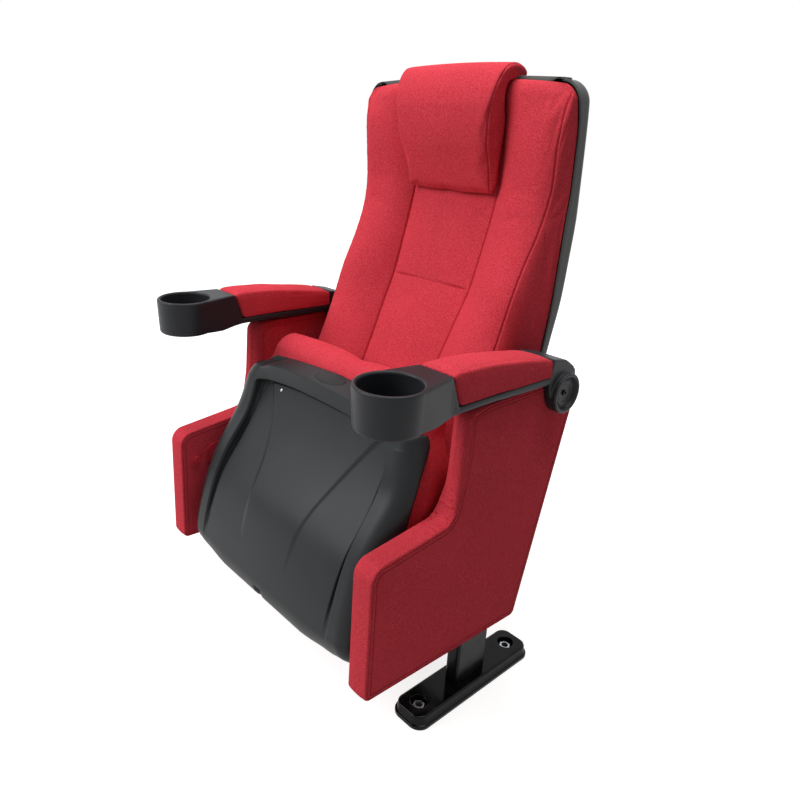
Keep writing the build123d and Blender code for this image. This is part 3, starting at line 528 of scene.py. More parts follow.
def sewLine(points, line, seam, seed, normals):
    # draws a sewn seam into points near a line: a narrow valley with small uneven gathers beside it,
    # given by the valley's width and depth and the gathers' height
    width, depth, pucker = seam
    line = np.asarray(line, float)
    start, end = line[:-1], line[1:]
    nearest = np.full(len(points), 1e9)
    spot = np.zeros(len(points))
    run = lengthAlong(line)
    box = (points > line.min(axis=0) - 0.05).all(axis=1) & (points < line.max(axis=0) + 0.05).all(axis=1)
    chosen = np.nonzero(box)[0]
    for number, (first, last) in enumerate(zip(start, end)):
        way = last - first
        share = np.clip(((points[chosen] - first) @ way) / (way @ way), 0, 1)
        far = np.linalg.norm(points[chosen] - first - share[:, None] * way, axis=1)
        closer = far < nearest[chosen]
        nearest[chosen[closer]] = far[closer]
        spot[chosen[closer]] = (run[number] + share * np.linalg.norm(way))[closer]
    sink = depth * np.exp(-(nearest / (width / 2)) ** 2)
    source = np.random.default_rng(seed)
    wave = sum(np.sin(spot * 2 * pi / size + source.uniform(0, 6)) for size in (0.011, 0.017, 0.026))
    sink += pucker * wave / 2 * np.exp(-nearest / 0.012) * (1 - np.exp(-(nearest / 0.003) ** 2))
    return points - normals * sink[:, None]


def surfaceOf(piece):
    piece.data.calc_loop_triangles()
    corners = [spot.co.copy() for spot in piece.data.vertices]
    return BVHTree.FromPolygons(corners, [tuple(face.vertices) for face in piece.data.polygons])


def layOn(tree, line, lift):
    # a drawn line (metres) set on a piece's surface
    made = []
    for spot in line:
        near, normal, face, far = tree.find_nearest(Vector(spot))
        made.append(near + normal * lift)
    return made


# outline helpers: a rounded outline in side view that can be drawn inwards
def insetStack(corners, deepest, gap):
    # the outline (y, z, radius in mm) at every whole millimetre of inset, with matching points
    points = np.array([corner[:2] for corner in corners], float)
    radii = np.array([corner[2] for corner in corners], float)
    ways = np.roll(points, -1, axis=0) - points
    lengths = np.linalg.norm(ways, axis=1)
    ways /= lengths[:, None]
    before = np.roll(ways, 1, axis=0)
    area = float(np.sum(points[:, 0] * np.roll(points[:, 1], -1)
                        - np.roll(points[:, 0], -1) * points[:, 1]))
    hand = 1 if area > 0 else -1
    inward = np.column_stack([-ways[:, 1], ways[:, 0]]) * hand
    inwardBefore = np.roll(inward, 1, axis=0)
    turn = np.arctan2(before[:, 0] * ways[:, 1] - before[:, 1] * ways[:, 0],
                      np.sum(before * ways, axis=1)) * hand
    arcCounts = np.maximum(np.ceil(np.abs(turn) * (radii + 4) / gap).astype(int), 4)
    shared = 1 + np.sum(inward * inwardBefore, axis=1)
    stack = []
    for inset in range(deepest + 1):
        moved = points + (inward + inwardBefore) * inset / shared[:, None]
        radius = np.where(turn > 0, np.maximum(radii - inset, 0.0), radii + inset)
        reach = radius * np.tan(np.abs(turn) / 2)
        ring = []
        for number in range(len(points)):
            start = moved[number] - before[number] * reach[number]
            side = inwardBefore[number] * (1 if turn[number] > 0 else -1)
            centre = start + side * radius[number]
            for step in range(arcCounts[number] + 1):
                angle = turn[number] * hand * step / arcCounts[number]
                arm = -side * radius[number]
                ring.append(centre + (arm[0] * cos(angle) - arm[1] * sin(angle),
                                      arm[0] * sin(angle) + arm[1] * cos(angle)))
            after = (number + 1) % len(points)
            end = moved[after] - before[after] * reach[after]
            steps = max(int(lengths[number] / gap), 1)
            first = ring[-1]
            for step in range(1, steps):
                ring.append(first + (end - first) * step / steps)
        stack.append(ring)
    return np.array(stack)


def atInset(stack, insets):
    insets = np.clip(np.broadcast_to(np.asarray(insets, float), stack.shape[1]), 0, len(stack) - 1.001)
    low = insets.astype(int)
    share = (insets - low)[:, None]
    number = np.arange(stack.shape[1])
    return stack[low, number] * (1 - share) + stack[low + 1, number] * share


def fillInside(outline, gap):
    # triangles that fill a flat outline, with inner points on a square grid
    low, high = outline.min(axis=0), outline.max(axis=0)
    ys, zs = (np.arange(low[axis] + gap, high[axis], gap) for axis in (0, 1))
    inner = np.array([(y, z) for y in ys for z in zs])
    nextPoint = np.roll(outline, -1, axis=0)
    kept = []
    for spot in inner:
        cut = (outline[:, 1] > spot[1]) != (nextPoint[:, 1] > spot[1])
        run = np.where(cut, nextPoint[:, 1] - outline[:, 1], 1)
        crossing = outline[:, 0] + (spot[1] - outline[:, 1]) * (nextPoint[:, 0] - outline[:, 0]) / run
        inside = np.sum(cut & (spot[0] < crossing)) % 2
        if inside and np.linalg.norm(outline - spot, axis=1).min() > gap * 0.45:
            kept.append(spot)
    points = [Vector(spot) for spot in list(outline) + kept]
    count = len(outline)
    edges = [(number, (number + 1) % count) for number in range(count)]
    done = delaunay_2d_cdt(points, edges, [], 1, 1e-7)
    return np.array([tuple(spot) for spot in done[0]]), [list(face) for face in done[2]]


def slab(stack, rings, capGap):
    # a closed thick plate: rings of (inset, x) from one face over the edge to the other, both faces filled
    points, faces = [], []
    count = stack.shape[1]
    for insets, across in rings:
        flat = atInset(stack, insets)
        points.append(np.insert(flat, 0, across, axis=1))
    faces += gridFaces(len(rings), count, closed=True)
    total = np.concatenate(points)
    for ring in (0, len(rings) - 1):
        flat, triangles = fillInside(points[ring][:, 1:], capGap)
        start = len(total)
        across = float(np.mean(points[ring][:, 0]))
        total = np.concatenate([total, np.insert(flat, 0, across, axis=1)])
        faces += [tuple(start + corner for corner in triangle) for triangle in triangles]
    return total, faces


def mirrored(points, side):
    # side 1 keeps the sitter's left, side -1 gives its mirror image
    points = np.array(points, float)
    points[:, 0] *= side
    return points


sideNames = {1: "left", -1: "right"}


# side panels: plywood under foam and cloth, with a band round the edge sewn to two flat faces
sidePanel = {
    "inner": 269.0,
    "outer": 311.0,
    "outline": [(-271, 126, 12), (-268, 364, 27), (-94, 382, 26), (-93, 440, 60), (-86, 571, 22),
                (162.5, 571, 16), (162.5, 540, 6), (201, 508, 12), (102, 112, 12)],
    "edge": 4.0,
    # the edge is softer up the front, from the first height to the second
    "softEdge": 17.0,
    "softFrom": 386.0,
    "softTo": 470.0,
    "deepest": 34,
    "gap": 3.0,
    # the gathers at the inner corner: where, how far they reach, and each wave's length and phase
    "gathers": (-96, 386, 38),
    "waves": ((9.5, 0.4), (6.3, 2.0), (14.0, 4.1)),
    "gatherHeight": 7.0,
    "edgeGather": 1.8,
    "stitchSink": 0.35,
    "setBack": 13.0,
    "seamDepth": 1.8,
    "stitchInset": 7.0,
    "crown": 1.6,
    "innerCrown": 0.6,
    "bandCrown": 1.2,
    "wobble": 0.35,
    "hub": (145.0, 554.0),
    "hubFlat": (48, 110),
}


def edgeRound(rim):
    # the edge's radius round the panel: small, but large up the front under the armrest
    size = sidePanel
    front = ease(rim[:, 1], size["softFrom"], size["softTo"]) * (1 - ease(rim[:, 0], -92, -20))
    return size["edge"] + (size["softEdge"] - size["edge"]) * front


def makeSidePanel(side):
    size = sidePanel
    stack = insetStack(size["outline"], size["deepest"], size["gap"])
    rim = stack[0]
    edge = edgeRound(rim)
    gatherY, gatherZ, reach = size["gathers"]
    corner = np.exp(-((rim[:, 0] - gatherY) ** 2 + (rim[:, 1] - gatherZ) ** 2) / reach ** 2)
    run = lengthAlong(rim)
    folds = sum(np.sin(run * 2 * pi / length + phase) for length, phase in size["waves"]) / 3
    middle = (size["inner"] + size["outer"]) / 2
    half = (size["outer"] - size["inner"]) / 2
    # from the outer face's filled middle, over the seam and the edge, to the middle of the band
    profile = []
    for extra in (12, 8.6, 7.6, 7.0, 6.4, 5.4, 3.6, 2.2, 1.3, 0.7, 0.2):
        seam = size["seamDepth"] * np.exp(-((extra - 0.9) / 0.75) ** 2)
        seam += size["stitchSink"] * np.exp(-((extra - size["stitchInset"]) / 0.7) ** 2)
        profile.append((edge + extra, half - seam))
    for step in range(1, 7):
        angle = pi / 2 * step / 6
        profile.append((edge * (1 - sin(angle)), half - edge * (1 - cos(angle))))
    band = []
    for share in (0.9, 0.75, 0.55, 0.35, 0.15):
        across = (half - edge) * share
        bulge = size["bandCrown"] * (1 - share ** 2)
        wrinkle = size["gatherHeight"] * corner * folds * share ** 1.2
        band.append((across, bulge + wrinkle))
    outward = rim - stack[2]
    outward /= np.maximum(np.linalg.norm(outward, axis=1), 1e-9)[:, None]
    loops = []
    for insets, across in profile:
        flat = atInset(stack, insets)
        near = np.exp(-((insets - edge) / 3.0) ** 2)[:, None]
        flat = flat + outward * (corner * folds)[:, None] * size["edgeGather"] * near
        loops.append((flat, across))
    for across, push in band:
        loops.append((rim + outward * push[:, None], across))
    loops = loops + [(flat, -across) for flat, across in reversed(loops)]
    points = np.concatenate([np.insert(flat, 0, middle + across, axis=1) for flat, across in loops])
    count = len(rim)
    faces = gridFaces(len(loops), count, closed=True)
    for number, sign in ((0, 1), (len(loops) - 1, -1)):
        flat, triangles = fillInside(loops[number][0], 11.0)
        start = len(points)
        points = np.concatenate([points, np.insert(flat, 0, middle + sign * half, axis=1)])
        faces += [tuple(start + spot for spot in triangle) for triangle in triangles]
    # a slight crown on both faces, none beside the armrest's hub
    away = np.sqrt((points[:, 1] - size["hub"][0]) ** 2 + (points[:, 2] - size["hub"][1]) ** 2)
    lift = ease(away, *size["hubFlat"])
    deep = np.min(np.linalg.norm(points[:, None, 1:] - rim[None, ::6], axis=2), axis=1)
    swell = lift * (1 - np.exp(-np.maximum(deep - 8, 0) / 38))
    outerFace = points[:, 0] > middle + half - 3
    innerFace = points[:, 0] < middle - half + 3
    wobble = size["wobble"] * ripples(points * 0.001, 0.11, 5)
    back = ease(points[:, 2], 384, 440) * (1 - ease(points[:, 1], -92, -20)) * (points[:, 1] < 0)
    points[:, 1] += size["setBack"] * back * (size["outer"] - points[:, 0]) / (2 * half)
    points[:, 0] += np.where(outerFace, swell * (size["crown"] + wobble), 0)
    points[:, 0] -= np.where(innerFace, swell * size["innerCrown"], 0)
    piece = addPiece("sidePanel_" + sideNames[side], mirrored(points * 0.001, side), faces, seatCloth)
    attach(piece, "frame")
    nodes = ["panel_outer_cover_", "panel_inner_cover_", "panel_edge_band_", "panel_core_"]
    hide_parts(*[node + sideNames[side] for node in nodes])


for side in (1, -1):
    makeSidePanel(side)
print("side panels made")


# a closed soft or moulded form from loops of equal points, with its two ends drawn in to a pole
def loftLoops(loops, endShares=(0.9, 0.7, 0.4, 0.15)):
    loops = [np.asarray(loop, float) for loop in loops]
    for end in (0, -1):
        centre = loops[end].mean(axis=0)
        closing = [centre + (loops[end] - centre) * share for share in endShares]
        loops = closing[::-1] + loops if end == 0 else loops + closing
    count = len(loops[0])
    points = np.concatenate(loops + [loops[0].mean(axis=0)[None], loops[-1].mean(axis=0)[None]])
    faces = gridFaces(len(loops), count, closed=True)
    first, last = len(points) - 2, len(points) - 1
    offset = (len(loops) - 1) * count
    return points, faces + fan(first, 0, count, back=True) + fan(last, offset, count)


def cushionRing(half, low, high, radius, crown, foot=4.0, counts=(44, 8, 8, 36), hollow=0.6):
    # a fixed count of points round a cushion's section: top, rounded edge, side, foot and underside
    topSteps, arcSteps, sideSteps, lowSteps = counts
    flat = half - radius
    points = []
    for step in range(topSteps + 1):
        x = -flat + 2 * flat * step / topSteps
        points.append((x, high + crown * (1 - (x / half) ** 2)))
    lift = crown * (1 - (flat / half) ** 2)
    right = []
    for step in range(1, arcSteps + 1):
        angle = pi / 2 * step / arcSteps
        right.append((flat + radius * sin(angle), high - radius + (radius + lift) * cos(angle)))
    side = high - radius - low - foot
    for step in range(1, sideSteps + 1):
        right.append((half - hollow * sin(pi * step / sideSteps), high - radius - side * step / sideSteps))
    for step in range(1, 4):
        angle = pi / 2 * step / 3
        right.append((half - foot + foot * cos(angle), low + foot - foot * sin(angle)))
    points += right
    for step in range(1, lowSteps):
        points.append((half - foot - 2 * (half - foot) * step / lowSteps, low))
    points += [(-x, z) for x, z in reversed(right)]
    return np.array(points)


# arm pads: foam on a board, wrapped in cloth, with a slanted front end and a fall to the back
armPad = {
    "centre": 290.0,
    "half": 34.6,
    "topR": 5.0,
    "lowR": 2.0,
    "crown": 2.2,
    # y along the top, top edge height, low edge height
    "levels": [(-135.4, 641.6, 594.0), (-131.2, 644.0, 593.5), (-120, 645, 593), (-60, 643, 592.8),
               (0, 636, 591.2), (60, 627, 589.7), (96, 620, 589), (103.2, 617.5, 588.8)],
    "slant": 18.5,
    # rings that close each end: how far they stand out and how much they shrink
    "frontEnd": [(-2.6, 3.0), (-1.9, 1.2), (-0.8, 0.35)],
    "rearEnd": [(0.6, 0.35), (1.2, 1.2), (1.5, 3.0)],
    # glued to its board below this height, in metres, like the measures under it
    "heldBelow": 0.596,
    "mostSwell": 0.0008,
    "wave": (0.00022, 0.05),
}


def makeArmPad(side):
    size = armPad
    rows = np.array(size["levels"], float)
    spots = spread([rows[0, 0], rows[1, 0], rows[-2, 0], rows[-1, 0]], 6.0, 1.6, 14.0)
    table = smoothRows(rows, spots)
    loops = [(y, high, low, 0.0) for y, (high, low) in zip(spots, table)]
    first, last = loops[0], loops[-1]
    start = [(first[0] + out, *first[1:3], shrink) for out, shrink in size["frontEnd"]]
    finish = [(last[0] + out, *last[1:3], shrink) for out, shrink in size["rearEnd"]]
    made = []
    for y, high, low, shrink in start + loops + finish:
        ring = cushionRing(size["half"] - shrink, low + shrink, high - shrink, size["topR"], size["crown"],
                           size["lowR"], (22, 7, 8, 16), 0.0)
        share = np.clip((high - ring[:, 1]) / (high - low), -0.1, 1)
        slant = size["slant"] * share * (1 - ease(y, -125, 20))
        made.append(np.column_stack([ring[:, 0] + size["centre"], y + slant, ring[:, 1]]))
    points, faces = loftLoops(made)
    piece = addPiece("armPad_" + sideNames[side], mirrored(points * 0.001, side), faces, seatCloth)
    held = np.where(places(piece)[:, 2] < size["heldBelow"], 1.0, 0.0)
    inflate(piece, held, size["mostSwell"])
    divide(piece)
    wavy = places(piece)
    high, wide = size["wave"]
    wavy += places(piece, "normal") * (high * ripples(wavy, wide, 11 + side))[:, None]
    setPlaces(piece, wavy)
    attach(piece, "armrest_" + sideNames[side])
    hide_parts("arm_pad_" + sideNames[side])


for side in (1, -1):
    makeArmPad(side)
print("arm pads made")


# seat cushion: foam round the board, seen above and beside the pan when the seat is tipped up
seatCushion = {
    # s, half width, low h, top edge h, crown, edge radius
    "levels": [(3, 236, 5, 66, 9, 18), (16, 246, -5, 76, 11, 20), (60, 260, -5.5, 82, 12, 18),
               (200, 262, -5.5, 82, 13, 16), (340, 258, -5.5, 82, 12, 16), (404, 226, -5.5, 81, 11, 24),
               (416, 224, 10.5, 80, 11, 26), (438, 222, 10.5, 76, 10, 27), (462, 214, 18, 66, 8, 24),
               (478, 202, 32, 56, 5, 12)],
    # the underside is narrower by this share, up to the second height
    "narrower": 0.038,
    "narrowTo": (4, 26),
    # held wholly and half below these heights over the board, and at the sides beyond this half width
    "heldH": (22, 30),
    "heldHalf": 0.252,
    "mostSwell": 0.005,
}
tip = {"hinge": (-188.0, 306.0), "hingeS": 184.0, "hingeH": -20.0, "lean": 20.75}


def seatToWorld(points):
    # from across, along (s) and out (h) on the seat to the frame, with the seat tipped up
    points = np.asarray(points, float)
    lean = radians(tip["lean"])
    along = points[:, 1] - tip["hingeS"]
    out = points[:, 2] - tip["hingeH"]
    y = tip["hinge"][0] + along * sin(lean) + out * cos(lean)
    z = tip["hinge"][1] + along * cos(lean) - out * sin(lean)
    return np.column_stack([points[:, 0], y, z]) * 0.001


seatOrigin = seatToWorld([(0, 0, 0)])[0]
seatOut = seatToWorld([(0, 0, 1)])[0] - seatOrigin


def makeSeatCushion():
    rows = np.array(seatCushion["levels"], float)
    spots = spread([rows[0, 0], rows[0, 0] + 14, rows[-3, 0], rows[-1, 0]], 10.0, 3.0, 26.0)
    made = []
    for s, (half, low, high, crown, radius) in zip(spots, smoothRows(rows, spots)):
        ring = cushionRing(half, low, high, radius, crown)
        ring[:, 0] *= 1 - seatCushion["narrower"] * (1 - ease(ring[:, 1], *seatCushion["narrowTo"]))
        made.append(np.insert(ring, 1, s, axis=1))
    return loftLoops(made, endShares=(0.97, 0.88, 0.7, 0.45, 0.2))


points, faces = makeSeatCushion()
cushion = addPiece("seatCushion", seatToWorld(points), faces, seatCloth)
outward = (places(cushion) - seatOrigin) @ seatOut * 1e6
wholly, partly = seatCushion["heldH"]
held = np.where(outward < wholly, 1.0, np.where(outward < partly, 0.5, 0.0))
held = np.maximum(held, np.where(np.abs(places(cushion)[:, 0]) > seatCushion["heldHalf"], 0.8, 0.0))
inflate(cushion, held, seatCushion["mostSwell"])
divide(cushion)
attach(cushion, "seat")
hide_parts("seat_cushion")
print("seat cushion made")


# seat board: the plywood between the cushion and the pan, its front corners inside the pan's nose
seatBoard = {
    "outline": [(14, -234, 18), (14, 234, 18), (318, 234, 60), (388, 196, 34), (400, 150, 60),
                (400, -150, 60), (388, -196, 34), (318, -234, 60)],
    "low": -6.0,
    "high": 6.0,
}


def makeSeatBoard():
    size = seatBoard
    low, high = size["low"], size["high"]
    rings = [(1.0, high), (0.3, high - 0.3), (0.0, high - 1.0), (0.0, low + 1.0), (0.3, low + 0.3),
             (1.0, low)]
    points, faces = slab(insetStack(size["outline"], 6, 8.0), rings, 40.0)
    board = addPiece("seatBoard", seatToWorld(points[:, [2, 1, 0]]), faces, birch)
    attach(board, "seat")
    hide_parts("seat_board")


makeSeatBoard()
print("seat board made")


# headrest: a separate pillow over the top of the back
headrest = {
    # y and z of the front line and of the back line, and half width, from the low edge over the top
    "ribs": [(181, 858, 189.5, 858, 104), (174, 878, 192.5, 880, 107), (162, 912, 190, 912, 110),
             (150, 948, 189, 948, 113), (145, 978, 188, 975, 116), (144, 1008, 184, 1010, 119),
             (148, 1032, 181, 1035, 122), (157, 1053, 184, 1047, 125), (167, 1067, 190, 1050, 127),
             (182, 1076, 197, 1051, 129), (200, 1078, 205, 1051, 130), (215, 1074, 212, 1051, 129),
             (226, 1065, 220, 1051, 127), (229, 1056, 225, 1051, 124)],
    "edge": 10.0,
    "crown": 3.0,
    "backEdge": 3,
    # both ends are pinched over this length: the depth and the width shrink by these shares
    "pinchLength": 9.0,
    "pinchDepth": 0.55,
    "pinchWidth": 0.035,
    # the seam down each side: its distance from the side; width, depth and gathers in metres
    "seamInset": 4.5,
    "seam": (0.0026, 0.0022, 0.0003),
    # glued down behind this y and below this z, in metres
    "heldFrom": (0.186, 1.049),
    "mostSwell": 0.004,
}


def makeHeadrest():
    size = headrest
    ribs = np.array(size["ribs"], float)
    middle = (ribs[:, :2] + ribs[:, 2:4]) / 2
    run = lengthAlong(middle)
    spots = spread([0, 8, run[-1] - 8, run[-1]], 6.0, 2.5, 16.0)
    table = smoothRows(np.column_stack([run, ribs]), spots)
    made = []
    for number, (frontY, frontZ, backY, backZ, half) in enumerate(table):
        outer, inner = np.array((frontY, frontZ)), np.array((backY, backZ))
        depth = np.linalg.norm(inner - outer)
        way = (inner - outer) / depth
        end = min(spots[number], run[-1] - spots[number])
        pinch = max(0.0, 1 - end / size["pinchLength"])
        edge, foot = min(size["edge"], depth * 0.45), size["backEdge"]
        ring = []
        flat = half - edge
        for step in range(27):
            x = -flat + 2 * flat * step / 26
            ring.append((x, -size["crown"] * (1 - (x / half) ** 2)))
        right = []
        for step in range(1, 8):
            angle = pi / 2 * step / 7
            right.append((flat + edge * sin(angle), edge * (1 - cos(angle))))
        for step in range(1, 5):
            right.append((half, edge + (depth - edge - foot) * step / 4))
        for step in range(1, 4):
            angle = pi / 2 * step / 3
            right.append((half - foot + foot * cos(angle), depth - foot + foot * sin(angle)))
        ring += right
        for step in range(1, 24):
            ring.append((half - foot - 2 * (half - foot) * step / 24, depth))
        ring += [(-x, d) for x, d in reversed(right)]
        ring = np.array(ring)
        centre = depth / 2
        squeeze = 1 - size["pinchDepth"] * pinch ** 2
        out = centre + (ring[:, 1] - centre) * squeeze
        ring[:, 0] *= 1 - size["pinchWidth"] * pinch ** 2
        spotsOut = outer[None] + way[None] * out[:, None]
        made.append(np.column_stack([ring[:, 0], spotsOut]))
    return loftLoops(made)


points, faces = makeHeadrest()
pillow = addPiece("headrest", points * 0.001, faces, seatCloth)
spot = places(pillow)
heldY, heldZ = headrest["heldFrom"]
held = np.where((spot[:, 1] > heldY) & (spot[:, 2] < heldZ), 0.9, 0.0)
inflate(pillow, held, headrest["mostSwell"])
divide(pillow)
ribs = np.array(headrest["ribs"], float)
run = lengthAlong(ribs[:, :2])
ribs = smoothRows(np.column_stack([run, ribs]), np.linspace(2, run[-1] - 2, 60))
spot = places(pillow)
tree = surfaceOf(pillow)
inset = headrest["seamInset"]
for mirror in (1, -1):
    line = np.column_stack([(ribs[:, 4] - inset) * mirror, ribs[:, 0] + 1, ribs[:, 1] + 1]) * 0.001
    spot = sewLine(spot, layOn(tree, line, 0.0), headrest["seam"], 21 + mirror, places(pillow, "normal"))
setPlaces(pillow, spot)
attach(pillow, "frame")
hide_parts("headrest_cushion")
print("headrest made")


# back cushion: a narrow centre between two thick bolsters, sewn along the joints and across the middle
backCushion = {
    # z, joint line y, bolster front y, bolster half width, centre y
    "levels": [(416, 139, -8, 226, 19), (520, 165, 36, 227, 66), (624, 187, 81, 227, 117),
               (690, 197, 106, 226, 150), (760, 202, 139, 225, 173), (832, 207, 168, 229, 194),
               (880, 211, 175, 235, 203), (975, 208, 172, 239, 199), (1020, 199, 182, 240, 192),
               (1050, 194, 190, 240, 189)],
    "edge": 246.0,
    "seams": [(416, 88), (548, 92), (686, 100), (852, 104), (1050, 106)],
    "crossSeam": 686.0,
    "top": 1046.0,
    "topCorner": 26.0,
    "sideSeam": [(226, -6, 418), (227, 36, 520), (227, 81, 624), (227, 98, 669), (225, 139, 760),
                 (225, 158, 793), (229, 170, 832), (235, 176, 880), (237, 173, 923), (239, 171, 975),
                 (239, 178, 1015), (240, 185, 1030)],
    "topStart": 1022.0,
    # the top edge stands a little higher beside the headrest than at the corners
    "arch": 5,
    "archFall": 8,
    "foot": 418,
    # held at the back, this far in front of the joint line too, at the foot and near the seams, in metres
    "heldBehind": 0.004,
    "heldBelow": 0.419,
    "heldSeam": 0.0022,
    "mostSwell": 0.006,
    # width, depth and gathers of each kind of seam in metres
    "longSeamCut": (0.0030, 0.0028, 0.0005),
    "sideSeamCut": (0.0028, 0.0026, 0.0004),
    "crossSeamCut": (0.0036, 0.0046, 0.0005),
    "crossSeamDeep": 0.003,
}


def backColumns():
    # places across half the cushion: shares of the centre, then shares along the bolster
    centre = np.concatenate([np.linspace(0, 0.9, 15), [0.94, 0.97, 0.985, 1.0]])
    bolster = np.concatenate([[0.008, 0.02, 0.04], np.linspace(0.06, 0.5, 16),
                              np.linspace(0.515, 0.95, 34), [0.97, 0.985, 1.0]])
    return centre, bolster


def backSection(z, level, centre, bolster):
    joint, front, half, middle = level
    seam = float(smoothRows(backCushion["seams"], [z])[0, 0])
    drawn = cornerDraw(z, backCushion["top"], backCushion["topCorner"])
    half -= drawn
    edge = backCushion["edge"] - drawn
    crest = np.array((half - 30, front - 3))
    foot = np.array((seam + 7, middle - 5))
    between = (crest + foot) / 2 + np.array((-5, -7))
    line = [(seam, middle), foot, between, crest, (half - 6, front + 4),
            (half + 3, front + 0.30 * (joint - front)), (half + 6, front + 0.65 * (joint - front)),
            (edge, joint)]
    fullest = 5.5 * ease(z, 430, 480) * (1 - 0.6 * ease(z, 960, 1040))
    xs = seam * centre
    left = np.column_stack([xs, middle - fullest * (1 - centre ** 2) ** 0.8])
    return np.concatenate([left, alongPoints(line, bolster)]), joint


def makeBackCushion():
    centre, bolster = backColumns()
    low, high = backCushion["topStart"], backCushion["top"]
    rows = [(z, 0.0) for z in spread([416, backCushion["crossSeam"], low], 7.0, 2.0, 18.0)]
    # the top edge is rounded over in eight steps
    rows += [(low + (high - low) * sin(pi / 16 * step), pi / 16 * step) for step in range(1, 9)]
    front, back = [], []
    for (z, angle), level in zip(rows, smoothRows(backCushion["levels"], [row[0] for row in rows])):
        section, joint = backSection(z, level, centre, bolster)
        y = section[:, 1] + (joint - section[:, 1]) * (1 - cos(angle))
        height = np.full(len(section), z)
        front.append(np.column_stack([section[:, 0], y, height]))
        back.append(np.column_stack([section[:, 0], np.full(len(section), joint), height]))
    for row in front + back:
        arch = backCushion["arch"] - backCushion["archFall"] * np.maximum((row[:, 0] - 125) / 100, 0) ** 1.5
        row[:, 2] += arch * ease(row[:, 2], 950, 1040)
    sheets = []
    for sheet in (front, back):
        sheets.append(np.array([np.concatenate([row[:0:-1] * (-1, 1, 1), row]) for row in sheet]))
    rowCount, count = sheets[0].shape[:2]
    points = np.concatenate([sheets[0].reshape(-1, 3), sheets[1].reshape(-1, 3)])
    offset = rowCount * count
    faces = gridFaces(rowCount, count) + [face[::-1] for face in gridFaces(rowCount, count, start=offset)]
    faces += [(number, offset + number, offset + number + 1, number + 1) for number in range(count - 1)]
    return points, faces


points, faces = makeBackCushion()
back = addPiece("backCushion", points * 0.001, faces, seatCloth)
spot = places(back)
seamX = smoothRows(backCushion["seams"], spot[:, 2] * 1000)[:, 0] * 0.001
jointY = smoothRows([row[:2] for row in backCushion["levels"]], spot[:, 2] * 1000)[:, 0] * 0.001
behind = spot[:, 1] > jointY - backCushion["heldBehind"]
onSeam = np.abs(np.abs(spot[:, 0]) - seamX) < backCushion["heldSeam"]
across = np.abs(spot[:, 2] - backCushion["crossSeam"] * 0.001) < backCushion["heldSeam"]
across = across & (np.abs(spot[:, 0]) < seamX)
low = spot[:, 2] < backCushion["heldBelow"]
held = np.where(behind | low, 1.0, np.where(onSeam | across, 0.8, 0.0))
inflate(back, held, backCushion["mostSwell"])
divide(back)


def seamOnBack(line):
    # lays a seam given by x and z on the cushion's front
    line = np.array(line, float)
    level = smoothRows(backCushion["levels"], line[:, 1])
    return np.column_stack([line[:, 0], level[:, 3], line[:, 1]]) * 0.001


heights = np.linspace(backCushion["foot"], 1044, 60)
seamLine = np.column_stack([smoothRows(backCushion["seams"], heights)[:, 0], heights])
spot = places(back)
facing = places(back, "normal")
tree = surfaceOf(back)
up = np.linspace(0.418, 1.03, 60)
for mirror in (1, -1):
    line = seamOnBack(seamLine) * (mirror, 1, 1)
    spot = sewLine(spot, line, backCushion["longSeamCut"], 3 + mirror, facing)
    line = np.array(backCushion["sideSeam"], float) * 0.001 * (mirror, 1, 1)
    line = np.column_stack([smoothRows(np.column_stack([line[:, 2], line[:, :2]]), up), up])
    spot = sewLine(spot, layOn(tree, line, 0.0), backCushion["sideSeamCut"], 7 + mirror, facing)
wide = float(smoothRows(backCushion["seams"], [backCushion["crossSeam"]])[0, 0])
line = seamOnBack([(x, backCushion["crossSeam"]) for x in np.linspace(-wide, wide, 21)])
line[:, 1] -= backCushion["crossSeamDeep"]
spot = sewLine(spot, line, backCushion["crossSeamCut"], 9, facing)
setPlaces(back, spot)
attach(back, "frame")
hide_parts("back_cushion")
print("back cushion made")


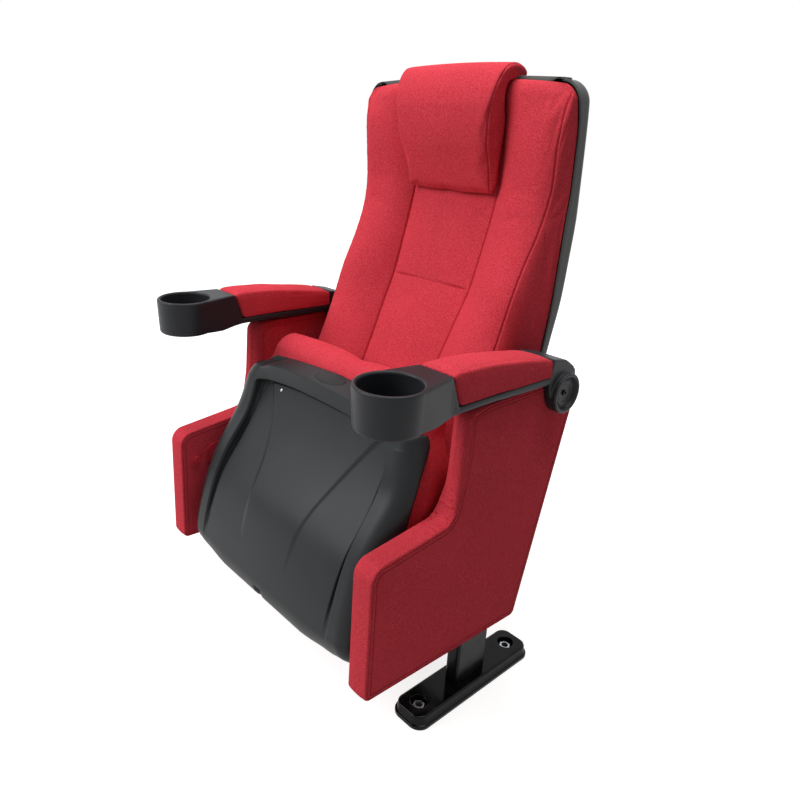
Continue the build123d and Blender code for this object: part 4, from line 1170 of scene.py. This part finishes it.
# seat pan: the moulded underside, a raised panel in a frame-like rim, with a sloping nose
seatPan = {
    # s, rim half width, rim h, ridge half width, ridge h, panel edge h, centre h
    "levels": [(0, 246, -2, 226, -6, -5, -5), (6, 249, -1, 223, -22, -21, -21),
               (14, 252, 0, 221, -32, -31, -32), (34, 255, 0, 219, -43, -41, -43),
               (97, 257, 0, 219, -53, -50, -54), (157, 257, 0, 219, -57, -50, -57),
               (200, 257, 0, 219, -54, -40, -47), (250, 257, 0, 219, -42, -26, -31),
               (316, 253, 1, 215, -26, -14, -17), (366, 249, 5, 212, -31, -10.5, -13),
               (387, 246, 7, 210, -33, -10, -13), (412, 240, 8, 206, -41, 0, 0),
               (419, 237, 8, 204, -38, 0, 0), (439, 230, 8, 196, 0, 0, 0)],
    "crease": [(0, 60), (60, 66), (133, 74), (155, 76), (202, 84), (255, 100), (354, 147), (387, 172)],
    "creaseHeight": 3.0,
    "creaseWidth": 7.0,
    "wall": 3.4,
    "edge": 202.0,
    "channel": 12.0,
    "cornerR": 17.0,
    "channelDepth": 8.0,
    "channelFloor": -11.5,
    "recessTop": [(0, 387), (60, 386.5), (120, 383), (160, 378), (178, 373.5), (202, 368), (260, 362)],
    "noseEdge": [(0, 416), (60, 415.3), (114, 413), (144, 409.5), (174, 403), (204, 396), (230, 388),
                 (260, 380)],
    "noseTop": [(0, 439.5), (61, 436.5), (96, 434.5), (150, 430), (181, 426.5), (204, 424), (222, 416),
                (236, 400), (260, 385)],
    # h where the nose's face starts under the panel, where it turns, and at the top edge
    "bandTopH": -33.0,
    "bandLowH": -42.0,
    "topH": 1.5,
    # s where the panel ends, the nose turns and the top edge lies, and the step under the panel
    "panelEnd": 387,
    "noseTurn": 416,
    "noseEnd": 439.5,
    "lip": 1.6,
    # half widths over which the nose runs into the ridge
    "noseMix": (150, 205),
    # the nose's sides: half widths over which they are drawn in, how far in, and how far out
    "sideMix": (150, 219),
    "sideIn": 12,
    "sideOut": 9,
    # the outer roll beside the nose: s from where it shortens and by what share, then s, its growth,
    # half width and its loss up to the top edge
    "rollShort": (386, 0.36),
    "rollTop": (396.6, 12, 232, 20),
    # the rear edge: how much lower the middle hangs, and how far the corners are cut back
    "rearHang": 9,
    "rearCut": 11,
    # the half width that the places across are given for
    "widest": 219.0,
    # s over which the rear edge's shape runs out, the creases rise, the channel deepens and the plain
    # rear end turns into panel and channel
    "rearRun": (0, 70),
    "creaseRun": (60, 190),
    "channelRun": (30, 110),
    "plainRun": (14, 60),
    # the channel's two walls, in shares of its width
    "rimWall": (0.0, 0.24),
    "panelWall": (0.78, 1.0),
    # the panel's bow across this half width
    "bow": (190, 2.2),
}


def panPlaces():
    across = np.concatenate([np.linspace(0, 189, 64), np.linspace(190, 203, 12),
                             np.linspace(204.5, 219, 7)])
    roll = np.linspace(0, 1, 15)[1:]
    low = [0, 1.5, 3, 5, 8, 11, 14, 17, 20]
    low = np.concatenate([low, np.arange(24, 366, 3.6), np.arange(366.5, 387.1, 0.82)])
    return across, roll, low


def easedLevels(levels, first, last):
    # the table at every 2 mm, evened along the seat so that no row shows as a crease
    rows = np.array(levels, float)
    even = np.arange(rows[0, 0], rows[-1, 0] + 0.1, 2.0)
    table = smoothRows(rows, even)
    reach = np.arange(-60, 61, 2.0)
    weights = np.exp(-(reach / 30) ** 2)
    weights /= weights.sum()
    inside = (even > first) & (even < last)
    run = table[inside]
    before = run[:1] + (run[1] - run[0]) * np.arange(-30, 0)[:, None]
    after = run[-1:] + (run[-1] - run[-2]) * np.arange(1, 31)[:, None]
    padded = np.concatenate([before, run, after])
    for column in range(table.shape[1]):
        table[inside, column] = np.convolve(padded[:, column], weights, mode="valid")
    return np.column_stack([even, table])


def rearEdge(x):
    # the pan's rear edge hangs lower in the middle and its corners are cut back
    hang, cut = seatPan["rearHang"], seatPan["rearCut"]
    return -hang + hang * ease(x, 120, 205) + cut * ease(x, 195, 257)


def makePan():
    size = seatPan
    panelEnd, noseTurn, noseEnd, lip = (size[key] for key in ("panelEnd", "noseTurn", "noseEnd", "lip"))
    across, roll, low = panPlaces()
    table = easedLevels(size["levels"], 34, 383)
    grid = []
    # rows along s: over the panel, down the band under it, and up the nose to its top edge
    rowMarks = [("panel", value) for value in low]
    rowMarks += [("band", share) for share in (0.0, 0.04, 0.1, 0.2, 0.35, 0.5, 0.65, 0.8, 0.9, 1.0)]
    rowMarks += [("top", share) for share in (0.06, 0.14, 0.24, 0.36, 0.5, 0.65, 0.8, 0.92, 1.0)]
    for kind, value in rowMarks:
        if kind == "panel":
            nominal = value
        elif kind == "band":
            nominal = panelEnd + lip + (noseTurn - panelEnd - lip) * value
        else:
            nominal = noseTurn + (noseEnd - noseTurn) * value
        rimHalf, rimH, ridgeHalf, ridgeH, panelH, centreH = smoothRows(table, [min(nominal, 439)])[0]
        narrower = ridgeHalf / size["widest"]
        x = across * narrower
        recess = smoothRows(size["recessTop"], x)[:, 0]
        noseEdge = smoothRows(size["noseEdge"], x)[:, 0]
        noseTop = smoothRows(size["noseTop"], x)[:, 0]
        if kind == "panel":
            bend = (nominal / panelEnd) ** 4
            s = nominal + (recess - panelEnd) * bend + rearEdge(x) * (1 - ease(nominal, *size["rearRun"]))
            edgeX = size["edge"] * narrower
            # how far in from the recess's wall, in channel widths, with its upper corners rounded
            cornerR = size["cornerR"]
            aside = np.maximum(cornerR - (edgeX - x), 0)
            above = np.maximum(cornerR - (recess - s) * size["channel"] / 5.0, 0)
            inside = (cornerR - np.hypot(aside, above)) / size["channel"]
            bowHalf, power = size["bow"]
            panel = centreH + (panelH - centreH) * np.clip(x / (bowHalf * narrower), 0, 1) ** power
            crease = smoothRows(size["crease"], s)[:, 0]
            halfCrease = size["creaseWidth"] / 2
            raised = size["creaseHeight"] * (1 - ease(x, crease - halfCrease, crease + halfCrease))
            panel = panel - raised * ease(s, *size["creaseRun"])
            channelFloor = panelH + size["channelDepth"] * ease(nominal, *size["channelRun"])
            channelFloor = min(channelFloor, size["channelFloor"])
            intoPanel = ease(inside, *size["panelWall"])
            outOfRim = ease(inside, *size["rimWall"])
            h = ridgeH * (1 - outOfRim) + (channelFloor * (1 - intoPanel) + panel * intoPanel) * outOfRim
            lowEnd = 1 - ease(nominal, *size["plainRun"])
            plain = centreH + (ridgeH - centreH) * np.clip(x / (size["widest"] * narrower), 0, 1) ** 2
            h = h * (1 - lowEnd) + plain * lowEnd
        elif kind == "band":
            s = recess + lip + (noseEdge - recess - lip) * value
            mid = size["bandTopH"] + (size["bandLowH"] - size["bandTopH"]) * (value ** 1.3)
            mix = ease(x / narrower, *size["noseMix"])
            h = mid * (1 - mix) + ridgeH * mix
        else:
            s = noseEdge + (noseTop - noseEdge) * value
            h = size["bandLowH"] + 0.6 + (size["topH"] - size["bandLowH"] - 0.6) * value ** 1.06
            mix = ease(x / narrower, *size["noseMix"])
            h = h * (1 - mix) + (ridgeH * (1 - value) + size["topH"] * value) * mix
        if kind != "panel":
            share = value if kind == "band" else 1.0
            drawnIn = share * ease(x / narrower, *size["sideMix"])
            x = x - size["sideIn"] * drawnIn
            h = h + size["sideOut"] * drawnIn * (1 if kind == "band" else 1 - value)
        row = np.column_stack([x, s, h])
        # outer roll from the ridge to the rim
        startX, startS, startH = row[-1]
        endS = nominal + rearEdge(rimHalf) * (1 - ease(nominal, *size["rearRun"]))
        shortFrom, shorter = size["rollShort"]
        endS = endS if kind == "panel" else nominal - (nominal - shortFrom) * shorter
        endX = rimHalf - (7 * value ** 2 if kind == "band" else 0)
        if kind == "top":
            topS, growth, topHalf, loss = size["rollTop"]
            endS, endX = topS + growth * value, topHalf - loss * value
        angle = roll * pi / 2
        rollX = startX + (endX - startX) * np.sin(angle)
        rollH = startH + (rimH - startH) * (1 - np.cos(angle))
        rollS = startS + (endS - startS) * (1 - np.cos(angle))
        grid.append(np.concatenate([row, np.column_stack([rollX, rollS, rollH])]))
    grid = np.array(grid)
    whole = np.concatenate([grid[:, :0:-1] * (-1, 1, 1), grid], axis=1)
    return whole.reshape(-1, 3), gridFaces(*whole.shape[:2])


# a notch is pressed into the middle of the rear edge
notch = {"half": 9.0, "side": 1.5, "depth": 16.0, "rise": 9.0, "sink": 20.0}
points, faces = makePan()
pressed = ease(-np.abs(points[:, 0]), -notch["half"] - notch["side"], -notch["half"] + notch["side"])
pressed = pressed * ease(-points[:, 1], -notch["depth"], -notch["depth"] + 5)
points[:, 1] += notch["rise"] * pressed * ease(-points[:, 1], -6, 4)
points[:, 2] += notch["sink"] * pressed
pan = addPiece("seatPan", seatToWorld(points), faces, panPlastic, merge=0)
if np.mean(places(pan, "normal") @ seatOut) > 0:
    pan.data.flip_normals()
addWall(pan, seatPan["wall"])
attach(pan, "seat")
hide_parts("seat_pan")
print("seat pan made")


# turned shapes: a profile of (reach, along) in mm spun round a line, both ends on that line
def turned(profile, steps, base, along, across):
    base, along, across = (np.array(part, float) for part in (base, along, across))
    other = np.cross(along, across)
    points = [base + along * profile[0][1]]
    for reach, far in profile[1:-1]:
        for step in range(steps):
            angle = 2 * pi * step / steps
            points.append(base + along * far + (across * cos(angle) + other * sin(angle)) * reach)
    points.append(base + along * profile[-1][1])
    rings = len(profile) - 2
    faces = fan(0, 1, steps, back=True) + gridFaces(rings, steps, closed=True, start=1)
    return np.array(points), faces + fan(len(points) - 1, 1 + (rings - 1) * steps, steps)


def roundCorners(corners, gap=0.8):
    # a profile's corners (reach, along, radius) as points with each corner rounded
    made = []
    points = [np.array(corner[:2], float) for corner in corners]
    for number, corner in enumerate(corners):
        if number in (0, len(corners) - 1) or corner[2] == 0:
            made.append(tuple(points[number]))
            continue
        before = points[number - 1] - points[number]
        after = points[number + 1] - points[number]
        before /= np.linalg.norm(before)
        after /= np.linalg.norm(after)
        half = np.arccos(np.clip(before @ after, -1, 1)) / 2
        reach = corner[2] / np.tan(half)
        steps = max(int((pi - 2 * half) * corner[2] / gap), 3)
        middle = points[number] + (before + after) / np.linalg.norm(before + after) * corner[2] / sin(half)
        start = points[number] + before * reach - middle
        end = points[number] + after * reach - middle
        for step in range(steps + 1):
            share = step / steps
            turn = pi - 2 * half
            way = (start * sin((1 - share) * turn) + end * sin(share * turn)) / sin(turn)
            made.append(tuple(middle + way))
    return made


def joinShapes(shapes):
    points, faces, start = [], [], 0
    for shapePoints, shapeFaces in shapes:
        points.append(np.asarray(shapePoints, float))
        faces += [tuple(start + corner for corner in face) for face in shapeFaces]
        start += len(shapePoints)
    return np.concatenate(points), faces


# armrests: one moulding with the cup, the neck, the strip under the pad and the hub's two cheeks
armrest = {
    "centre": 290.0,
    "half": 34.6,
    "cupY": -231.0,
    # the neck starts here, in front of the pad
    "neckY": -139,
    # the cup's wall: radius at its foot, how much it grows, from which z over what height, least, most
    "wall": (51.2, 2.4, 582, 52, 51.0, 53.8),
    "boreR": 49.5,
    "cupProfile": [(0, 577.4, 0), (44.5, 577.4, 0), (50.6, 577.4, 4.5), (51.4, 582, 0), (53.7, 634, 0),
                   (54, 644, 3.2), (46.8, 644, 3.2), (46.9, 634, 0), (45.6, 583, 3.5), (0, 582.6, 0)],
    "side": [(-228, 580.5, 2), (-204, 577.6, 30), (-172, 575.0, 46), (-120, 581, 40), (-44, 580.6, 20),
             (93, 575.5, 20), (150, 574.8, 6), (172, 583, 8), (173, 594, 12), (146, 611.5, 30),
             (105.6, 620.2, 1.5), (101, 589, 2), (20, 590.3, 60), (-60, 592, 60), (-121.3, 592.3, 1.5),
             (-139.6, 643.4, 1.8), (-200, 643.6, 20), (-228, 643.2, 3)],
    "cheek": [(104, 566, 12), (106, 619, 3), (145, 611, 14), (175, 590, 10), (179, 560, 12),
              (176, 536, 22), (145, 518.4, 30), (113, 536, 20)],
    "hub": (145.0, 554.0),
    # the hub's outer boss with its dish, and its inner boss: reach, along x, rounding
    "bosses": [[(0, 312, 0), (33, 312, 0), (35.5, 314, 1.5), (35.5, 334.0, 2.6), (29.5, 334.0, 1.8),
                (25.5, 325.0, 0.8), (0, 325.0, 0)],
               [(0, 268.2, 0), (29, 268.2, 0), (31, 266.2, 1.5), (31, 255.4, 2.4), (0, 255.4, 0)]],
    # x of the two panel sides of the hub's cheeks
    "cheekFaces": (311.8, 268.2),
    # the joined shape is made of cells of this size and eased this often
    "voxel": 1.45,
    "easing": 5,
}


def aboutHub(profile, steps, gap=0.8):
    # a shape turned about the armrest's hinge line
    return turned(roundCorners(profile, gap), steps, (0, *armrest["hub"]), (1, 0, 0), (0, 1, 0))


def flareNeck(points, cupY):
    # widens the neck in front of the pad so that its sides run into the cup's wall, clear of the bore
    x, y, z = points.T
    footR, wider, footZ, height, least, most = armrest["wall"]
    wallR = np.clip(footR + (z - footZ) * wider / height, least, most)
    half, neckY = armrest["half"], armrest["neckY"]
    reach = neckY - cupY
    away = sqrt(half ** 2 + reach ** 2)
    angle = np.arcsin(reach / away) - np.arccos(wallR / away)
    wide, touch = wallR * np.cos(angle), cupY + wallR * np.sin(angle)
    straight = half + (wide - half) * (neckY - y) / (neckY - touch)
    flared = x * straight / half
    limit = np.sqrt(np.maximum(wallR ** 2 - (y - cupY) ** 2, 0))
    flared = np.where(y < touch, np.sign(flared) * np.minimum(np.abs(flared), limit), flared)
    x = np.where(y < neckY, flared, x)
    bore = cupY + np.sqrt(np.maximum(armrest["boreR"] ** 2 - x ** 2, 0))
    y = np.where(y < neckY, np.maximum(y, bore), y)
    return np.column_stack([x, y, z])


def makeArmBody(side):
    size = armrest
    cupY = size["cupY"]
    shapes = [turned(roundCorners(size["cupProfile"]), 128, (size["centre"], cupY, 0), (0, 0, 1),
                     (1, 0, 0))]
    stack = insetStack(size["side"], 6, 2.2)
    rings = [(3.2, 0.0), (1.4, 0.45), (0.45, 1.4), (0.0, 3.2)]
    rings = [(inset, size["half"] - drop) for inset, drop in rings]
    rings += [(0.0, 25.0), (0.0, 16.0), (0.0, 8.0), (0.0, 0.0)]
    rings += [(inset, -across) for inset, across in reversed(rings[:-1])]
    points, faces = slab(stack, rings, 9.0)
    points = flareNeck(points, cupY) + (size["centre"], 0, 0)
    shapes.append((points, faces))
    cheekStack = insetStack(size["cheek"], 5, 2.2)
    for near, way in zip(size["cheekFaces"], (1, -1)):
        far = size["centre"] + size["half"] * way
        rings = [(2.4, far), (1.0, far - 0.35 * way), (0.3, far - 1.1 * way), (0.0, far - 2.4 * way),
                 (0.0, near)]
        shapes.append(slab(cheekStack, rings, 9.0))
    shapes += [aboutHub(boss, 96) for boss in size["bosses"]]
    points, faces = joinShapes(shapes)
    piece = addPiece("armBody_" + sideNames[side], mirrored(points * 0.001, side), faces, armPlastic)
    joined = piece.modifiers.new("joined", "REMESH")
    joined.mode = "VOXEL"
    joined.voxel_size = size["voxel"] * 0.001
    joined.adaptivity = 0.0
    eased = piece.modifiers.new("eased", "SMOOTH")
    eased.factor = 0.5
    eased.iterations = size["easing"]
    bake(piece)
    piece.data.shade_smooth()
    setMaterial(piece, armPlastic)
    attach(piece, "armrest_" + sideNames[side])
    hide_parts("arm_body_" + sideNames[side])
    print("arm body", piece.name, len(piece.data.polygons), "faces")


for side in (1, -1):
    makeArmBody(side)


# hub caps: a dished cap over the armrest's pin, with a small socket screw
hubCap = {
    "profile": [(0, 324.9, 0), (22.4, 324.9, 0), (22.4, 328.0, 0.7), (19.8, 328.2, 0.6),
                (14.0, 325.9, 2.5), (0, 325.9, 0)],
    "screw": [(0, 325.7, 0), (5.0, 325.7, 0), (5.0, 328.2, 1.0), (2.6, 328.8, 0.4), (2.4, 327.2, 0.2),
              (0, 327.0, 0)],
}


def makeHubCap(side):
    cap = aboutHub(hubCap["profile"], 72, 0.5)
    piece = addPiece("hubCap_" + sideNames[side], mirrored(cap[0] * 0.001, side), cap[1], capPlastic)
    screw = aboutHub(hubCap["screw"], 24, 0.5)
    head = addPiece("hubScrew_" + sideNames[side], mirrored(screw[0] * 0.001, side), screw[1], blackSteel)
    for part in (piece, head):
        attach(part, "armrest_" + sideNames[side])
    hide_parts("hub_cap_" + sideNames[side])


for side in (1, -1):
    makeHubCap(side)
print("armrest mouldings made")


# feet: glossy black covers, stepped all round, with a counterbored hole over each floor anchor
foot = {
    "centre": 290.0,
    "half": (36.0, 156.0),
    "corner": 23.0,
    "flange": 7.0,
    "step": 4.0,
    "height": 24.0,
    "boreR": 15.0,
    "rimR": 17.8,
    "boreY": 120.0,
    "boreFloor": 12.0,
    "boreSteps": 48,
}


def makeFoot(side):
    size = foot
    wide, deep = size["half"]
    step, flange, height = size["step"], size["flange"], size["height"]
    boreR, rimR, boreFloor, boreSteps = size["boreR"], size["rimR"], size["boreFloor"], size["boreSteps"]
    boreMiddles = (-size["boreY"], size["boreY"])
    signs = ((-1, -1), (1, -1), (1, 1), (-1, 1))
    stack = insetStack([(x * wide, y * deep, size["corner"]) for x, y in signs], 12, 3.0)
    rings = [(3.0, 0.0), (0.3, 0.0), (0.0, 0.4), (0.0, flange - 1.6), (0.5, flange - 0.5), (1.6, flange),
             (step - 0.6, flange + 0.1), (step, flange + 0.7), (step + 0.5, height - 4.2),
             (step + 1.2, height - 1.8), (step + 2.6, height - 0.5), (step + 4.4, height),
             (step + 5.6, height)]
    points = np.concatenate([np.insert(atInset(stack, inset), 2, z, axis=1) for inset, z in rings])
    count = stack.shape[1]
    faces = gridFaces(len(rings), count, closed=True)
    bottom = len(points)
    points = np.concatenate([points, [(0, 0, 0)]])
    faces += fan(bottom, 0, count, back=True)
    # the top is filled round the two holes, and each hole goes down to its floor
    outline = points[(len(rings) - 1) * count:len(rings) * count, :2]
    turn = np.arange(boreSteps) * 2 * pi / boreSteps
    circle = np.column_stack([np.cos(turn), np.sin(turn)])
    holes = [circle * rimR + (0, place) for place in boreMiddles]
    flat = [Vector(spot) for spot in np.concatenate([outline] + holes)]
    edges = []
    for first, length in ((0, count), (count, boreSteps), (count + boreSteps, boreSteps)):
        edges += [(first + number, first + (number + 1) % length) for number in range(length)]
    done = delaunay_2d_cdt(flat, edges, [], 1, 1e-7)
    start = len(points)
    spots = np.array([tuple(spot) for spot in done[0]])
    points = np.concatenate([points, np.insert(spots, 2, height, axis=1)])
    # a triangle inside a hole has its middle nearer than the flats of the rim
    flatR = rimR * 0.9965
    for triangle in done[2]:
        middle = spots[list(triangle)].mean(axis=0)
        if min(np.hypot(middle[0], middle[1] - place) for place in boreMiddles) > flatR:
            faces.append(tuple(start + corner for corner in triangle))
    profile = [(rimR, height), (boreR + 1.6, height), (boreR + 0.5, 23.7), (boreR, 22.8),
               (boreR, boreFloor + 0.6), (boreR - 0.6, boreFloor), (6.0, boreFloor)]
    for place in boreMiddles:
        start = len(points)
        rings = [np.insert(circle * reach + (0, place), 2, z, axis=1) for reach, z in profile]
        points = np.concatenate([points] + rings + [[(0, place, boreFloor)]])
        faces += gridFaces(len(profile), boreSteps, closed=True, start=start)
        faces += fan(len(points) - 1, start + (len(profile) - 1) * boreSteps, boreSteps)
    points[:, 0] += size["centre"]
    piece = addPiece("footCover_" + sideNames[side], mirrored(points * 0.001, side), faces, blackEnamel)
    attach(piece, "frame")
    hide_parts("foot_cover_" + sideNames[side])


for side in (1, -1):
    makeFoot(side)
print("feet made")


# back shell: a moulded tray behind the back cushion, with a rounded rim and a lip over the cushion's top
backShell = {
    # z, joint line y, back y
    "levels": [(405, 137, 158), (416, 139, 163), (520, 165, 188), (624, 187, 214), (690, 197, 230),
               (760, 202, 238), (832, 207, 244), (880, 211, 243), (975, 208, 240), (1020, 199, 236),
               (1050, 194, 231)],
    "half": 250.0,
    "bulge": 18.0,
    "corner": 14.0,
    "topCorner": 34.0,
    "top": 1047.0,
    "wall": 3.0,
    # the lip in front of the tray: forward and down, and the half widths over which it runs out
    "lip": ((-0.9, 0.4), (-1.3, 1.4), (-1.3, 7.0), (-1.3, 13.0)),
    "lipEnds": (184, 212),
    # the top edge is a flat arch, by this much at its ends and in the middle
    "arch": (0.5, 8.5),
}


def shellLine(joint, back, half):
    # half of the shell's section: from the middle of the back round the corner to its front lip
    size = backShell
    flat = half - size["corner"]
    points = [(flat * share, back + size["bulge"] * (1 - share ** 2)) for share in np.linspace(0, 1, 26)]
    for angle in np.linspace(0, pi / 2, 8)[1:]:
        points.append((flat + size["corner"] * sin(angle), back - size["corner"] * (1 - cos(angle))))
    lip = joint + 1.5
    for share in np.linspace(0, 1, 7)[1:]:
        points.append((half, back - size["corner"] + (lip - back + size["corner"]) * share))
    for angle in np.linspace(0, pi, 7)[1:]:
        points.append((half - 1.7 + 1.7 * cos(angle), lip - 1.7 * sin(angle)))
    return np.array(points)


def makeBackShell():
    size = backShell
    cornerR = size["topCorner"]
    cornerZ = size["top"] - cornerR
    heights = list(np.linspace(size["levels"][0][0], cornerZ, 54))
    heights += [cornerZ + cornerR * sin(angle) for angle in np.linspace(0, pi / 2, 14)[1:]]
    table = smoothRows(size["levels"], heights)
    rows = []
    for z, (joint, backY) in zip(heights, table):
        line = shellLine(joint, backY, size["half"] - cornerDraw(z, size["top"], cornerR))
        rows.append(np.insert(line, 2, z, axis=1))
    # the top turns forwards to the lip over a small radius
    top = rows[-1]
    joint = table[-1][0] + 1.5
    for turn in np.linspace(0, pi / 2, 6)[1:]:
        made = top.copy()
        made[:, 1] = joint + (top[:, 1] - joint) * (1 - 0.16 * (1 - cos(turn)))
        made[:, 2] += 3.0 * sin(turn)
        rows.append(made)
    last = rows[-1]
    for share in (0.75, 0.5, 0.25, 0.0):
        made = last.copy()
        made[:, 1] = joint + (last[:, 1] - joint) * share
        rows.append(made)
    # and hangs as a narrow lip in front of the tray
    edge = rows[-1]
    middle = 1 - ease(edge[:, 0], *size["lipEnds"])
    for forward, drop in size["lip"]:
        made = edge.copy()
        made[:, 1] += forward * middle
        made[:, 2] -= drop * middle
        rows.append(made)
    low, high = size["arch"]
    for row in rows:
        row[:, 2] += (low + high * (1 - (row[:, 0] / size["half"]) ** 2)) * ease(row[:, 2], 940, 1030)
    wide = [np.concatenate([row[:0:-1] * (-1, 1, 1), row]) for row in rows]
    return np.concatenate(wide), gridFaces(len(wide), len(wide[0]))


points, faces = makeBackShell()
shell = addPiece("backShell", points * 0.001, faces, shellPlastic)
if np.sum(places(shell, "normal")[:, 1] * (places(shell)[:, 1] > 0.22)) < 0:
    shell.data.flip_normals()
addWall(shell, backShell["wall"])
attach(shell, "frame")
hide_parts("back_shell")
print("back shell made")


# small fixings on the seat pan: two screw heads and the blank oval number plate, laid on its surface
panFixings = {
    "screws": [(-126.0, 368.0), (126.0, 368.0)],
    "screwR": 3.4,
    "plate": (0.0, 429.0),
    "plateHalf": (37.0, 15.0),
    "squash": 0.62,
    # rings of the plate: share of its reach, height over the pan in mm
    "plateRings": [(0.12, 0.7), (0.25, 0.7), (0.4, 0.7), (0.55, 0.7), (0.7, 0.7), (0.82, 0.7), (0.9, 0.7),
                   (0.95, 0.68), (0.98, 0.6), (0.993, 0.45), (1.0, 0.2), (1.0, -0.8)],
    "columns": 64,
}


def onPan(tree, across, along):
    start = Vector(seatToWorld([(across, along, -120)])[0])
    way = Vector(seatOut).normalized()
    spot, normal, face, far = tree.ray_cast(start, way)
    return spot, normal if normal.dot(way) < 0 else -normal


def makePanFixings():
    size = panFixings
    tree = surfaceOf(bpy.data.objects["seatPan"])
    reach = size["screwR"]
    profile = [(0, -1.0, 0), (reach, -1.0, 0), (reach, 0.9, 0.7), (1.4, 1.5, 0.3), (1.3, 0.5, 0.1),
               (0, 0.4, 0)]
    heads = []
    for across, along in size["screws"]:
        spot, normal = onPan(tree, across, along)
        side = normal.cross(Vector((0, 1, 0))).normalized()
        heads.append(turned(roundCorners(profile, 0.5), 20, np.array(spot) * 1000, tuple(normal),
                            tuple(side)))
    points, faces = joinShapes(heads)
    screws = addPiece("panScrews", points * 0.001, faces, zincSteel)
    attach(screws, "seat")
    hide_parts("pan_screws")
    rows, columns = len(size["plateRings"]), size["columns"]
    top, wide, deep = [], *size["plateHalf"]
    for reach, lift in size["plateRings"]:
        for column in range(columns):
            angle = 2 * pi * column / columns
            x = size["plate"][0] + reach * wide * cos(angle)
            s = size["plate"][1] + reach * deep * sin(angle) * size["squash"]
            spot, normal = onPan(tree, x, s)
            top.append(np.array(spot) + np.array(normal) * lift * 0.001)
    middle = onPan(tree, *size["plate"])
    start = len(top)
    top.append(np.array(middle[0]) + np.array(middle[1]) * 0.0007)
    top.append(np.array(middle[0]) - np.array(middle[1]) * 0.0009)
    faces = gridFaces(rows, columns, closed=True)
    faces += fan(start, 0, columns) + fan(start + 1, (rows - 1) * columns, columns, back=True)
    plate = addPiece("numberPlate", top, faces, capPlastic, merge=0.00001)
    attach(plate, "seat")
    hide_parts("number_plate")


makePanFixings()
print("pan fixings made")


# stitches: short thread beads set along the sewn lines
stitching = {"Length": 0.0031, "Spacing": 0.0043, "Thickness": 0.0011}


def stitchTree():
    tree = bpy.data.node_groups.new("stitches", "GeometryNodeTree")
    tree.interface.new_socket("Geometry", in_out="INPUT", socket_type="NodeSocketGeometry")
    for name in stitching:
        tree.interface.new_socket(name, in_out="INPUT", socket_type="NodeSocketFloat")
    tree.interface.new_socket("Thread", in_out="INPUT", socket_type="NodeSocketMaterial")
    tree.interface.new_socket("Geometry", in_out="OUTPUT", socket_type="NodeSocketGeometry")
    start = addNode(tree, "NodeGroupInput")
    line = addNode(tree, "GeometryNodeMeshToCurve", {"Mesh": start.outputs["Geometry"]})
    spots = addNode(tree, "GeometryNodeCurveToPoints", {"Curve": line, "Length": start.outputs["Spacing"]},
                    mode="LENGTH")
    bead = addNode(tree, "GeometryNodeMeshUVSphere", {"Segments": 6, "Rings": 4, "Radius": 0.5})
    turn = addNode(tree, "FunctionNodeAlignRotationToVector", {"Vector": spots.outputs["Tangent"]},
                   axis="Z")
    shape = addNode(tree, "ShaderNodeCombineXYZ", {0: start.outputs["Thickness"],
                                                   1: start.outputs["Thickness"],
                                                   2: start.outputs["Length"]})
    placed = addNode(tree, "GeometryNodeInstanceOnPoints",
                     {"Points": spots.outputs["Points"], "Instance": bead.outputs["Mesh"],
                                                            "Rotation": turn, "Scale": shape})
    real = addNode(tree, "GeometryNodeRealizeInstances", {"Geometry": placed})
    finish = addNode(tree, "GeometryNodeSetMaterial",
                     {"Geometry": real, "Material": start.outputs["Thread"]})
    end = addNode(tree, "NodeGroupOutput")
    tree.links.new(finish.outputs[0], end.inputs["Geometry"])
    return tree


stitches = stitchTree()


def sew(name, body, lines):
    points, edges = [], []
    for line in lines:
        edges += [(len(points) + number, len(points) + number + 1) for number in range(len(line) - 1)]
        points += [tuple(spot) for spot in line]
    mesh = bpy.data.meshes.new(name)
    mesh.from_pydata(points, edges, [])
    piece = bpy.data.objects.new(name, mesh)
    bpy.context.scene.collection.objects.link(piece)
    change = piece.modifiers.new("stitches", "NODES")
    change.node_group = stitches
    for socket in stitches.interface.items_tree:
        if socket.in_out == "INPUT" and socket.name in stitching:
            change[socket.identifier] = stitching[socket.name]
        if socket.in_out == "INPUT" and socket.name == "Thread":
            change[socket.identifier] = thread
    bake(piece)
    piece.data.shade_smooth()
    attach(piece, body)
    print("sewn", name, len(piece.data.polygons), "faces")


def panelStitches(side):
    tree = surfaceOf(bpy.data.objects["sidePanel_" + sideNames[side]])
    size = sidePanel
    stack = insetStack(size["outline"], size["deepest"], size["gap"])
    rim = stack[0]
    edge = edgeRound(rim)
    lines = []
    for x in (size["outer"] + 1, size["inner"] - 1):
        flat = atInset(stack, edge + size["stitchInset"])
        flat = np.concatenate([flat, flat[:1]])
        line = mirrored(np.insert(flat, 0, x, axis=1), side) * 0.001
        lines.append(layOn(tree, line, 0.0002))
    return lines


sew("panelStitches", "frame", panelStitches(1) + panelStitches(-1))


# finishes of the CAD nodes that stay on show, by the start of their names
nodeFinishes = {
    blackSteel: ("post", "foot_plate", "cross_tube", "back_bracket", "hinge_bracket", "spring_barrel"),
    zincSteel: ("anchor", "back_screws", "hinge_pin", "arm_pin"),
    redEnamel: ("hinge_flange",),
    redRubber: ("stop_buffers",),
    rubber: ("arm_stop",),
    bushPlastic: ("arm_bush", "hinge_bush"),
    birch: ("back_board",),
}
for name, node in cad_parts.items():
    for finish, starts in nodeFinishes.items():
        if name.startswith(starts):
            setMaterial(node, finish)
print("CAD nodes finished")
